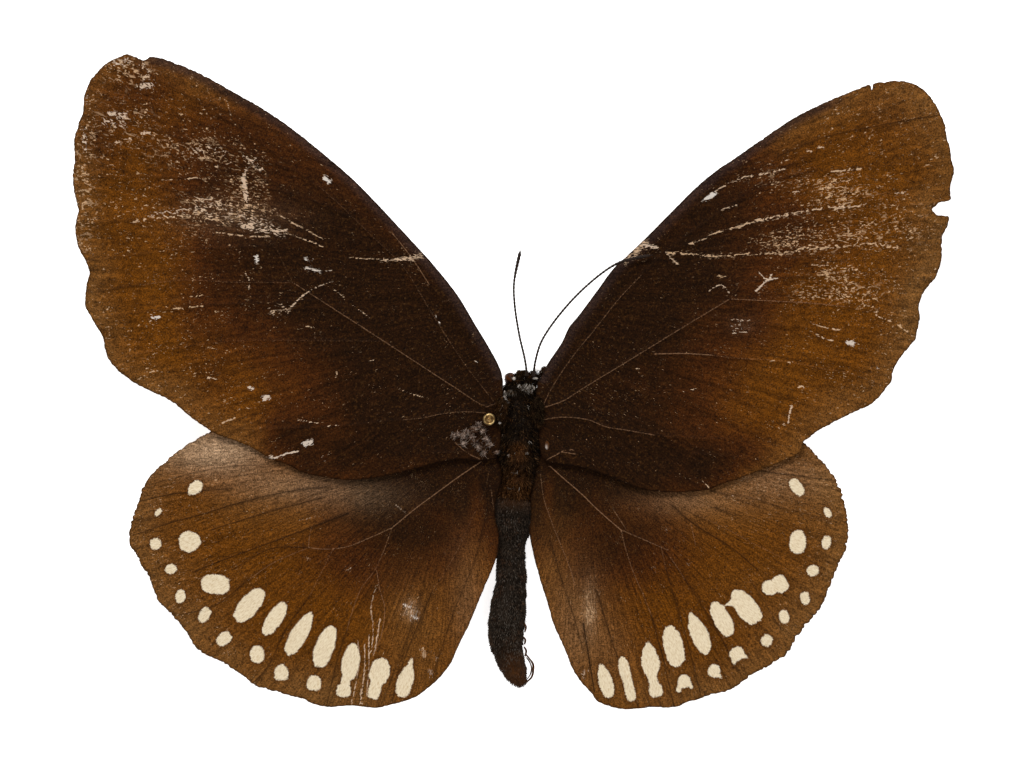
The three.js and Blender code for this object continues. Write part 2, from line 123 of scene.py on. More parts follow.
# %% Material helper
class Finish:
    """Builds one material's nodes; the methods give back output sockets."""

    def __init__(self, name):
        self.material = bpy.data.materials.new(name)
        self.material.use_nodes = True
        self.tree = self.material.node_tree
        self.shader = self.tree.nodes["Principled BSDF"]
        self.place = self.tree.nodes.new("ShaderNodeTexCoord").outputs["Object"]

    def link(self, source, socket):
        """Feeds a socket from another node's output, or sets it to a number or a colour."""
        if isinstance(source, (int, float)):
            socket.default_value = source
        elif isinstance(source, tuple):
            socket.default_value = (*source, 1.0) if len(source) == 3 else source
        else:
            self.tree.links.new(source, socket)

    def math(self, operation, a, b=0.0, clamp=False):
        node = self.tree.nodes.new("ShaderNodeMath")
        node.operation = operation
        node.use_clamp = clamp
        self.link(a, node.inputs[0])
        self.link(b, node.inputs[1])
        return node.outputs[0]

    def add(self, a, b, clamp=False):
        return self.math("ADD", a, b, clamp)

    def minus(self, a, b):
        return self.math("SUBTRACT", a, b)

    def times(self, a, b, clamp=False):
        return self.math("MULTIPLY", a, b, clamp)

    def around_zero(self, value, swing):
        """Turns noise, which is around 0.5, into a share around 0."""
        return self.times(self.minus(value, 0.5), swing)

    def around_one(self, value, swing):
        """Turns noise, which is around 0.5, into a factor around 1."""
        return self.add(1.0 - swing / 2, self.times(value, swing))

    def step(self, value, low, high):
        """0 below low, 1 above high, smooth between; low may be more than high, for a falling step."""
        node = self.tree.nodes.new("ShaderNodeMapRange")
        node.interpolation_type = "SMOOTHSTEP"
        rising = low < high
        self.link(value, node.inputs["Value"])
        node.inputs["From Min"].default_value = min(low, high)
        node.inputs["From Max"].default_value = max(low, high)
        node.inputs["To Min"].default_value = 0.0 if rising else 1.0
        node.inputs["To Max"].default_value = 1.0 if rising else 0.0
        return node.outputs["Result"]

    def mask(self, name):
        node = self.tree.nodes.new("ShaderNodeAttribute")
        node.attribute_type = "GEOMETRY"
        node.attribute_name = name
        return node.outputs["Fac"]

    def noise(self, size_mm, detail=2.0, rough=0.5, stretch=(1.0, 1.0, 1.0), shift=0.0):
        """Noise whose grains are about size_mm wide, longer along the axes whose stretch is over 1."""
        spread = self.tree.nodes.new("ShaderNodeMapping")
        spread.vector_type = "TEXTURE"
        spread.inputs["Scale"].default_value = stretch
        spread.inputs["Location"].default_value = (shift * MM, 0.0, 0.0)
        self.tree.links.new(self.place, spread.inputs["Vector"])
        return self.noise_node(spread, 1.0 / (size_mm * MM), detail, rough)

    def fan_noise(self, across_mm, along_mm, detail=2.0, rough=0.5, shift=0.0, curl=0.0):
        """Noise drawn out along the wing, by how far round the fan of veins and how far out each point is."""
        spread = self.tree.nodes.new("ShaderNodeCombineXYZ")
        self.link(self.math("DIVIDE", self.mask("fan"), across_mm), spread.inputs["X"])
        self.link(self.math("DIVIDE", self.mask("reach"), along_mm), spread.inputs["Y"])
        spread.inputs["Z"].default_value = shift
        return self.noise_node(spread, 1.0, detail, rough, curl)

    def noise_node(self, spread, scale, detail, rough, curl=0.0):
        node = self.tree.nodes.new("ShaderNodeTexNoise")
        node.inputs["Scale"].default_value = scale
        node.inputs["Distortion"].default_value = curl
        node.inputs["Detail"].default_value = detail
        node.inputs["Roughness"].default_value = rough
        self.tree.links.new(spread.outputs[0], node.inputs["Vector"])
        return node.outputs["Fac"]

    def threads(self, across_mm, along_mm, shift, thick):
        """1 on thin curled threads, 0 between them: they are the lines where a noise crosses its middle."""
        noise = self.fan_noise(across_mm, along_mm, 1.0, 0.5, shift, 0.8)
        away = self.math("ABSOLUTE", self.minus(noise, 0.5))
        return self.step(away, thick, thick * 0.3)

    def mix(self, share, a, b):
        node = self.tree.nodes.new("ShaderNodeMix")
        node.data_type = "RGBA"
        self.link(share, node.inputs["Factor"])
        self.link(a, node.inputs["A"])
        self.link(b, node.inputs["B"])
        return node.outputs["Result"]

    def shade(self, colour, amount):
        """colour times amount, a number for each point."""
        node = self.tree.nodes.new("ShaderNodeVectorMath")
        node.operation = "SCALE"
        self.link(colour, node.inputs[0])
        self.link(amount, node.inputs["Scale"])
        return node.outputs[0]

    def bump(self, height, depth_mm, strength):
        node = self.tree.nodes.new("ShaderNodeBump")
        node.inputs["Strength"].default_value = strength
        node.inputs["Distance"].default_value = depth_mm * MM
        self.link(height, node.inputs["Height"])
        self.tree.links.new(node.outputs[0], self.shader.inputs["Normal"])

    def finish(self, colour, roughness, metallic=0.0, specular=0.5):
        self.link(colour, self.shader.inputs["Base Color"])
        self.link(roughness, self.shader.inputs["Roughness"])
        self.shader.inputs["Metallic"].default_value = metallic
        self.shader.inputs["Specular IOR Level"].default_value = specular
        return self.material


def srgb(*screen):
    """A colour read as 0 to 255 screen values, as Blender's linear values."""
    shares = [c / 255 for c in screen]
    return tuple(c / 12.92 if c <= 0.04 else ((c + 0.055) / 1.055) ** 2.4 for c in shares)


def floor_finish():
    """Nearly white, and lit from within, so that the floor fades into the background."""
    f = Finish("pale_floor")
    grain = f.noise(4.0)
    f.shader.inputs["Emission Color"].default_value = (1.0, 1.0, 1.0, 1.0)
    f.shader.inputs["Emission Strength"].default_value = 0.85
    return f.finish(f.mix(grain, srgb(250, 250, 250), srgb(246, 246, 246)), 0.8, specular=0.1)


floor_mesh.materials.append(floor_finish())
print("materials", len(bpy.data.materials))

# %% [markdown]
# A wing is one membrane stretched between stiff veins.
# Its edge is a given outline, smoothed by a spline and roughened a little, because the fringe is worn.
# These are the same outlines as the solids have, so each visible wing stays where its solid is.

# %% Wing outlines, in millimetres, from the root along the front edge and back along the outer and rear edges
OUTLINES = {
    "forewing_left": [
        (-0.93, 0.2), (-1.13, 1.07), (-2, 2.8), (-3.35, 5.05), (-5, 7.8), (-7, 10.35), (-10, 13.65),
        (-14.4, 18.25), (-18, 21.35), (-20, 22.95), (-23, 25), (-25, 26.1), (-28, 27.8), (-30, 28.7),
        (-32, 29.4), (-33.1, 29.5), (-33.5, 29.2), (-34.2, 29.5), (-35, 29.77), (-36, 29.4), (-37, 28.9),
        (-37.8, 28.1), (-38.35, 27.5), (-38.7, 26.7), (-39, 25.8), (-39.1, 24.4), (-39.4, 23.75),
        (-39.6, 23.1), (-39.9, 22), (-39.85, 20), (-40, 19.1), (-40, 17.9), (-39.65, 16.1), (-39.5, 15.5),
        (-39.65, 14.9), (-39.8, 14), (-39.7, 13), (-39.4, 11.9), (-38.9, 11), (-38.5, 9.9), (-38.75, 8.95),
        (-38.87, 7.8), (-38.87, 6.8), (-38.4, 5.9), (-37.95, 5.1), (-37.5, 4.4), (-37.2, 3.6), (-37.15, 3),
        (-36.7, 1.9), (-36, 1.05), (-35, 0.25), (-34.35, -0.2), (-33, -0.85), (-31.5, -1.6), (-30.7, -2.1),
        (-29.7, -2.95), (-28.5, -3.85), (-27.55, -4.48), (-26.5, -5), (-25, -5.5), (-23.3, -6.3),
        (-22.2, -7), (-20.5, -7.6), (-19.1, -8.3), (-17.8, -8.6), (-15.3, -8.95), (-13.2, -8.85),
        (-10.7, -8.4), (-8.5, -7.85), (-6.9, -7.4), (-5, -7.05), (-3.2, -7.2), (-1.5, -6.9), (-1.1, -5.5),
        (-1.05, -4), (-0.95, -2.6), (-0.9, -1.2),
    ],
    "forewing_right": [
        (2.27, 0), (2.5, 0.4), (3.1, 1.55), (4.4, 3.5), (5.1, 4.95), (6, 6.05), (7.7, 8.35), (9.1, 10.25),
        (10, 11.1), (11.7, 12.7), (13.3, 14.3), (16.8, 17.8), (18.5, 19.2), (20, 20.2), (22.5, 21.95),
        (25, 23.65), (26.7, 24.6), (28.6, 25.5), (30, 26.1), (31.4, 26.65), (32.5, 26.98), (32.6, 26.5),
        (32.7, 27.03), (33.8, 27.25), (35, 27.35), (36.2, 27.15), (37.15, 26.65), (38, 25.8), (38.5, 25.05),
        (38.9, 24.2), (39.3, 23.3), (39.4, 22.4), (39.7, 21.3), (39.85, 20.2), (40.1, 19.1), (39.95, 18.35),
        (39.75, 17.6), (39.75, 16.5), (38.8, 16.2), (38.27, 15.8), (38.1, 15.6), (38.45, 15.25),
        (39.1, 15.1), (39.6, 15.08), (39.5, 14.15), (39.1, 13.3), (39, 12.4), (39, 11.4), (38.8, 10.4),
        (38.4, 9.4), (37.85, 8.75), (37.4, 8.2), (37.05, 7.4), (36.9, 6.6), (37, 5.8), (36.8, 4.7),
        (36.57, 3.8), (36, 3.1), (35.35, 2.3), (34.8, 1.5), (34.5, 0.75), (34.45, 0.1), (34, -0.5),
        (33.4, -1.3), (32.6, -2.05), (31.3, -2.7), (30, -3.3), (28.9, -3.9), (27.9, -4.4), (27.1, -5),
        (26.4, -5.55), (26.3, -6.2), (25.7, -6.7), (24.7, -7.2), (23.3, -7.8), (22, -8.3), (20.4, -8.9),
        (18.8, -9.4), (17.9, -9.8), (16.4, -10), (14, -10.05), (11.95, -9.85), (10.5, -9.4), (9, -8.75),
        (7.5, -8.2), (6.2, -7.8), (4.7, -7.6), (2.8, -7.1), (2.35, -5.5), (2.3, -4), (2.2, -2.6),
        (2.1, -1.2),
    ],
    "hindwing_left": [
        (-1.5, -6.6), (-4, -4.4), (-9, -3.2), (-15, -2.6), (-21, -2.6), (-25.5, -3.4), (-27.5, -4.45),
        (-28.9, -5.2), (-30, -5.95), (-31.3, -6.9), (-32.5, -8), (-33.65, -9.4), (-34.1, -10.8),
        (-34.6, -12.1), (-34.9, -13.4), (-35, -14.2), (-34.87, -15), (-34.3, -15.85), (-33.75, -16.9),
        (-33.1, -17.9), (-32.7, -19), (-32.25, -20.1), (-31.6, -20.7), (-30.95, -21.4), (-29.9, -22.6),
        (-29.1, -23.95), (-28.2, -24.8), (-27, -25.3), (-25.5, -26.2), (-24.4, -26.95), (-23.5, -27.7),
        (-22.4, -28.05), (-20.7, -28.5), (-19.2, -28.95), (-17.9, -29.45), (-16.6, -29.65), (-14.9, -29.5),
        (-13.8, -29.6), (-12.35, -29.7), (-11, -29.4), (-10, -29.15), (-8.8, -28.7), (-7.7, -27.9),
        (-6.55, -26.85), (-5.6, -25.6), (-5, -24.2), (-4.1, -22.4), (-3.3, -20.5), (-2.6, -18.8),
        (-1.6, -16.4), (-1.32, -15), (-1.3, -13.7), (-1.55, -12.6), (-1.6, -11.4), (-1.35, -10.2),
        (-1.05, -9.3), (-1, -8.6),
    ],
    "hindwing_right": [
        (2.6, -6.6), (5, -5), (9, -4), (14, -3.6), (19.5, -3.6), (24, -4.4), (26.5, -5.5), (27.25, -6.2),
        (28.4, -7.45), (29.3, -8.65), (29.87, -9.8), (30.2, -11), (30.5, -12.3), (30.6, -13.7),
        (30.5, -14.6), (30.25, -15.5), (29.7, -16.6), (29.3, -17.7), (28.75, -19), (28.4, -20),
        (27.9, -20.8), (27.05, -21.8), (25.95, -23.2), (25.4, -24.2), (24.8, -25), (24.1, -25.35),
        (23.15, -26), (22, -26.6), (21.1, -27.2), (20.5, -27.7), (19.4, -28.25), (18.1, -28.5), (17, -28.9),
        (15.9, -29.2), (15.1, -29.55), (14, -29.7), (13.1, -29.65), (11.6, -29.75), (10.3, -29.86),
        (9, -29.65), (7.65, -29.1), (7.1, -28.35), (6.2, -27.4), (5.4, -26.2), (4.7, -24.4), (3.7, -22.2),
        (3.1, -20.1), (2.4, -17.9), (1.87, -15.85), (1.5, -14.2), (1.5, -13.2), (1.6, -12), (1.6, -10.6),
        (1.9, -8.9),
    ],
}

# %% [markdown]
# Veins come next. Each is a short list of points with its look: worn veins are pale lines,
# dark ones are shaded lines, and plain ones only raise the membrane.

# %% Veins: how worn, how dark, points
VEINS = {
    "forewing_left": [
        (0, 0.2, [(-1.9, -0.6), (-3.4, 2.4), (-5.3, 5.6), (-7.6, 8.9)]),
        (0.75, 0, [(-7.6, 8.8), (-8.3, 9.9), (-9.2, 11.25), (-10.9, 13.4)]),
        (0.5, 0, [
            (-1.6, -2), (-4.4, 1.6), (-7.2, 5.9), (-9.9, 10.3), (-13, 13.4), (-16, 16.3), (-17.8, 17.9),
        ]),
        (0, 0.3, [(-16, 16.3), (-19.5, 19), (-24, 22.4), (-29, 25.6), (-33, 27.9)]),
        (0.72, 0, [(-1.6, -2), (-2.3, -2.3), (-5.5, -0.4), (-9.8, 2.4), (-14.1, 5.2), (-20, 9)]),
        (0.5, 0, [(-20, 9), (-25, 9), (-30, 9.2), (-33.6, 8.8)]),
        (0, 0.4, [(-33.6, 8.8), (-38.6, 8)]),
        (0.45, 0, [(-20, 9), (-20.9, 10.8), (-21.6, 12.2), (-22.6, 12.9)]),
        (0, 0.2, [(-21.6, 12.3), (-30, 11.9), (-38.8, 10.9)]),
        (0.1, 0.2, [(-17, 12.1), (-20, 13.3), (-25, 14), (-30, 14.7), (-39.6, 14.3)]),
        (0, 0.3, [(-14.5, 14.8), (-20, 17), (-29, 18.4), (-39.8, 18.5)]),
        (0, 0.3, [(-19.5, 19), (-25, 21), (-31, 22.3), (-39, 24.6)]),
        (0.1, 0.2, [(-17.4, 7.4), (-22, 7.1), (-28, 6.9), (-33, 6.3), (-38.4, 5.7)]),
        (0.4, 0, [(-11.9, 3.65), (-17.8, 3.7), (-24.6, 3.7), (-30.4, 3.1), (-35, 2.35)]),
        (0.6, 0, [(-2.6, -2.85), (-4.4, -2.75), (-6.2, -2.9), (-8.2, -3.3), (-10, -3.5)]),
        (0.15, 0.1, [(-10, -3.5), (-16, -4.1), (-21, -4.3), (-27, -4.4)]),
        (0.75, 0, [(-5.2, -5.6), (-4.75, -6), (-4.2, -6.5), (-2.9, -7.1)]),
        (0.35, 0, [(-7.3, -6.5), (-4.6, -6.35)]),
    ],
    "forewing_right": [
        (0, 0.2, [(3, -1), (4.8, 2.2), (7.6, 6), (10.7, 9.8), (13.5, 12.9), (17, 16.2)]),
        (0.62, 0, [(2.5, -2.8), (3.1, -1.4), (4.1, 0.35), (5.6, 2.5), (7.4, 4.7), (9.7, 7.6), (11.6, 9.6)]),
        (0, 0.3, [(11.6, 9.6), (14, 11.8), (19, 15.5), (24, 18.9), (29, 21.8), (35.5, 25.6)]),
        (0.72, 0, [(2.7, -2.4), (4.56, -1.76), (6.4, -0.6), (9.2, 1.1), (15.4, 4.9), (19.7, 7.5)]),
        (0.7, 0, [(19.7, 7.5), (21.8, 7.4), (24.9, 7.25), (27.9, 7.05), (30.1, 6.8)]),
        (0.2, 0, [(30.1, 6.8), (33.3, 6.2), (36.7, 5.6)]),
        (0.4, 0, [(19.7, 7.5), (20.8, 8.9)]),
        (0, 0.2, [(20.8, 8.9), (25, 9.4), (30, 9.6), (37.9, 9.2)]),
        (0, 0.2, [(14, 11.6), (20, 11.5), (28.2, 12.2), (39, 12.5)]),
        (0, 0.3, [(13.7, 11.7), (20.4, 14), (27.1, 15.5), (38, 16)]),
        (0, 0.3, [(19, 15.5), (25, 18.6), (31, 19.3), (39.7, 20)]),
        (0, 0.6, [(24, 20.4), (28, 22.1), (33, 23.2), (38.6, 24.2)]),
        (0.1, 0.1, [(17, 5.95), (21, 5.4), (30, 4.5), (36.2, 3.3)]),
        (0.9, 0, [(12.9, 2.5), (15.6, 2.55), (18, 2.4)]),
        (0.5, 0, [
            (18, 2.4), (20.5, 2.1), (23.6, 1.95), (26.3, 1.55), (28.2, 1.15), (30.2, 0.85), (31.9, 0.25),
        ]),
        (0, 0.3, [(31.7, 0.3), (34.1, -0.5)]),
        (0.7, 0, [
            (2.3, -3.6), (3.7, -3.3), (5.2, -3.25), (6.9, -3.5), (8.4, -4.1), (10.5, -4.45), (12.7, -4.85),
        ]),
        (0.3, 0, [(12.7, -4.85), (16.2, -5.15), (19.7, -5.2)]),
        (0.2, 0, [(16.5, -6.6), (19.5, -6.8), (22.3, -7.2)]),
        (0.8, 0, [(3.1, -7.1), (4.4, -6.4), (4.95, -6), (5.4, -6.2)]),
        (0.8, 0, [(4.4, -6.4), (5.65, -6.6)]),
    ],
    "hindwing_left": [
        (0, 0.5, [(-3, -6.6), (-8, -6.4), (-20, -7.4), (-27, -7.9), (-33.2, -9.4)]),
        (0, 0.7, [(-17, -9.6), (-20.1, -9.95), (-24.8, -11), (-28, -12), (-31, -12.8), (-34.6, -14)]),
        (0, 0.7, [(-25.5, -9.7), (-31, -10.25), (-34, -10.9)]),
        (0, 0.65, [(-17.5, -10.6), (-22, -11.8), (-27.5, -13.5)]),
        (0, 0.75, [(-15, -12), (-20, -13.9), (-26, -16.1), (-29, -17.3)]),
        (0, 0.65, [(-18.6, -15.1), (-22, -15.2), (-25.5, -17.1)]),
        (0.9, 0, [(-2.9, -7.3), (-4.7, -8.5), (-6.9, -10.1), (-8.8, -11.5), (-11, -13.3)]),
        (0.77, 0, [(-11, -13.3), (-13, -14.2), (-15, -15), (-17, -15.25), (-18.6, -15.1)]),
        (0.62, 0, [(-18.6, -15.1), (-20.3, -15.8), (-22, -16.6), (-24, -18)]),
        (0, 0.6, [(-24, -18), (-27.2, -20.4), (-30.7, -21.3)]),
        (0.72, 0, [(-18.6, -15.1), (-18.5, -14), (-18.3, -13.3)]),
        (0.52, 0, [(-16.4, -15.3), (-17.2, -16.9), (-18.5, -19.5)]),
        (0, 0.6, [(-18.5, -19.5), (-20.7, -22.6), (-22.2, -25.8), (-23.6, -27.4)]),
        (0.62, 0, [
            (-11, -13.3), (-11.8, -15.5), (-12.6, -17.2), (-13.8, -18.8), (-14.8, -21.5), (-15.1, -22.6),
        ]),
        (0, 0.6, [(-15.1, -22.6), (-15.9, -25), (-16.9, -29.3)]),
        (0.7, 0, [
            (-12.4, -17.2), (-12.1, -19), (-11.7, -20.3), (-11.7, -21.5), (-12.1, -23.5), (-12.6, -24.7),
        ]),
        (0.42, 0, [(-2.2, -8.3), (-2.6, -10), (-3.6, -12.2), (-4.7, -14.6), (-6, -17), (-7.3, -19)]),
        (0, 0.6, [(-7.3, -19), (-9.6, -24.5), (-11, -29.1)]),
        (0.57, 0, [(-2, -9.8), (-1.75, -11.6)]),
        (0, 0.5, [(-2.3, -11.5), (-3.4, -16), (-5.4, -21), (-7.3, -26.8)]),
        (0, 0.45, [(-8.4, -20), (-10.8, -26.5), (-12, -29.4)]),
    ],
    "hindwing_right": [
        (0, 0.5, [(4, -6.8), (8, -6.8), (20, -7.9), (29.2, -9)]),
        (0.37, 0.4, [(18, -10), (21.5, -10.5), (24, -11.3), (26.5, -12), (29, -12.9)]),
        (0, 0.7, [(14.5, -11.3), (16.5, -13), (20, -15.2), (22.2, -17.1)]),
        (0, 0.7, [(18.5, -11.5), (20.2, -12.2)]),
        (0.52, 0, [(16.5, -12), (19, -13.2), (22, -14.8), (24.4, -16)]),
        (0.62, 0, [(16.2, -13), (16.6, -14.9)]),
        (0.37, 0.4, [(21.7, -18.3), (22.6, -19.5), (23.7, -21.5), (24.3, -22.4)]),
        (0.9, 0, [(3.4, -7.75), (4.7, -8.9), (6.2, -10.2), (7.85, -11.8), (9.8, -13.5)]),
        (0.7, 0, [(9.8, -13.5), (11.95, -14.4), (14, -15.3)]),
        (0.52, 0, [(13.5, -15.2), (13.9, -17)]),
        (0.62, 0, [(14.3, -16), (15, -17), (15.6, -18)]),
        (0, 0.6, [(15.6, -18), (17.9, -21.5), (20.9, -27)]),
        (0, 0.6, [(13.9, -17), (15.8, -23.5), (17.1, -28.6)]),
        (0.62, 0, [(9.8, -13.5), (10.3, -15.4), (11, -17.5), (11.8, -19.3), (12.6, -21.3)]),
        (0, 0.7, [(12.6, -21.3), (13.6, -25), (14.6, -29.3)]),
        (0.72, 0, [(9.1, -11.6), (10.2, -13.3)]),
        (0, 0.7, [(7.6, -19), (9.3, -24.5), (11.3, -29.4)]),
        (0.67, 0, [(2.5, -8.5), (2.8, -10.6), (3.6, -13), (4.4, -15), (5.3, -17.3), (5.6, -18.5)]),
        (0, 0.9, [(6.4, -22), (6.8, -24.5), (7.4, -28.2)]),
        (0, 0.6, [(3.4, -14.5), (4.4, -18), (5.4, -21), (6.4, -24.5)]),
    ],
}
print("veins", {name: len(veins) for name, veins in VEINS.items()})

# %% [markdown]
# The cream spots lie in two rows along each hindwing's outer edge; the forewings have none.
# A spot is a lens: a middle, a half length and half width, the lean of its long axis,
# and how sharp each end is (0.5 is round, 1 is pointed, 0.25 is blunt).

# %% Spots: x, y, half length, half width, lean in degrees, sharpness of the front end and of the back end
SPOTS = {
    "forewing_left": [],
    "forewing_right": [],
    "hindwing_left": [
        (-28.94, -9.72, 0.82, 0.55, 45, 0.4, 0.75), (-29.37, -14.53, 1, 0.95, 10, 0.6, 0.4),
        (-27.07, -18.45, 1.3, 0.87, -5, 0.35, 0.4), (-23.95, -20.3, 1.85, 0.88, 50, 0.5, 0.45),
        (-21.7, -21.6, 1.78, 0.7, 57, 0.5, 0.5), (-19.4, -22.9, 2.2, 0.74, 60, 0.6, 0.4),
        (-17.1, -24.1, 2, 0.84, 70, 0.5, 0.4), (-14.75, -25.5, 1.75, 0.82, 80, 0.6, 0.45),
        (-15.25, -27.4, 0.7, 0.42, 82, 0.3, 0.3), (-15.4, -28.1, 0.58, 0.64, 85, 0.3, 0.25),
        (-12.1, -26.3, 1.2, 0.88, 75, 0.5, 0.3), (-12.55, -27.9, 1, 0.55, 78, 0.3, 0.25),
        (-9.77, -27.2, 1.55, 0.7, 73, 0.6, 0.35), (-9.3, -25.6, 0.5, 0.22, 75, 0.8, 0.3),
        (-32.26, -11.9, 0.42, 0.24, 50, 0.4, 0.5), (-32.5, -14.75, 0.52, 0.5, 20, 0.4, 0.4),
        (-31.1, -17.05, 0.55, 0.45, 10, 0.5, 0.5), (-30.24, -19.55, 0.62, 0.45, 80, 0.45, 0.5),
        (-28.06, -21.25, 0.72, 0.48, 60, 0.3, 0.5), (-26.3, -23.4, 0.75, 0.55, 35, 0.35, 0.5),
        (-23.27, -24.8, 0.78, 0.65, 95, 0.5, 0.4), (-21.06, -26.45, 0.7, 0.62, 88, 0.5, 0.2),
        (-18.1, -27.4, 0.7, 0.65, 85, 0.5, 0.3),
    ],
    "hindwing_right": [
        (25.8, -9.6, 0.88, 0.5, -55, 0.4, 0.4), (25.9, -14.57, 1.1, 0.74, 85, 0.5, 0.4),
        (23.35, -18.75, 0.7, 0.66, 0, 0.4, 0.4), (24.3, -18.4, 0.66, 0.78, 30, 0.3, 0.3),
        (21.15, -20.45, 1.8, 0.95, -52, 0.35, 0.5), (20, -20.1, 0.8, 0.3, 20, 0.4, 0.9),
        (19, -21.6, 1.7, 0.78, -62, 0.4, 0.45), (16.9, -22.9, 2.05, 0.78, -67, 0.45, 0.7),
        (14.6, -24.1, 1.95, 0.88, -78, 0.4, 0.5), (12.5, -25.4, 1.75, 0.82, -82, 0.55, 0.7),
        (12.75, -27.2, 0.7, 0.42, -75, 0.3, 0.3), (12.98, -28.1, 0.6, 0.62, -80, 0.3, 0.3),
        (10.15, -26.2, 1.2, 0.5, -78, 0.35, 0.5), (10.6, -28, 1.1, 0.45, -78, 0.3, 0.3),
        (8.4, -27.2, 1.6, 0.62, -74, 0.35, 0.7), (28.6, -11.9, 0.5, 0.3, -60, 0.4, 0.5),
        (28.5, -14.66, 0.62, 0.42, 80, 0.4, 0.5), (27.26, -17.2, 0.55, 0.5, 20, 0.5, 0.5),
        (26.55, -19.7, 0.6, 0.42, 100, 0.4, 0.4), (24.65, -21.4, 0.6, 0.45, 100, 0.35, 0.4),
        (23.07, -23.55, 0.55, 0.5, 60, 0.4, 0.4), (20.36, -24.76, 0.68, 0.62, 40, 0.4, 0.4),
        (20.1, -25.4, 0.5, 0.22, -100, 0.9, 0.3), (21.05, -24.95, 0.4, 0.2, -35, 0.9, 0.3),
        (18.3, -26.3, 0.6, 0.55, 80, 0.5, 0.35), (18.8, -26.8, 0.3, 0.16, -50, 0.9, 0.3),
        (15.55, -27.25, 0.6, 0.55, 60, 0.4, 0.4), (15.1, -27.9, 0.4, 0.24, 75, 0.4, 0.4),
        (16.1, -27.6, 0.4, 0.2, -65, 0.6, 0.3),
    ],
}
print("spots", {name: len(spots) for name, spots in SPOTS.items()})

# %% [markdown]
# Scratches and worn places are strokes: a half width, a brightness, a tint and a few points.
# Tint 0 is tan, where scales are rubbed off, and tint 1 is a cool white, where the bare membrane shines.

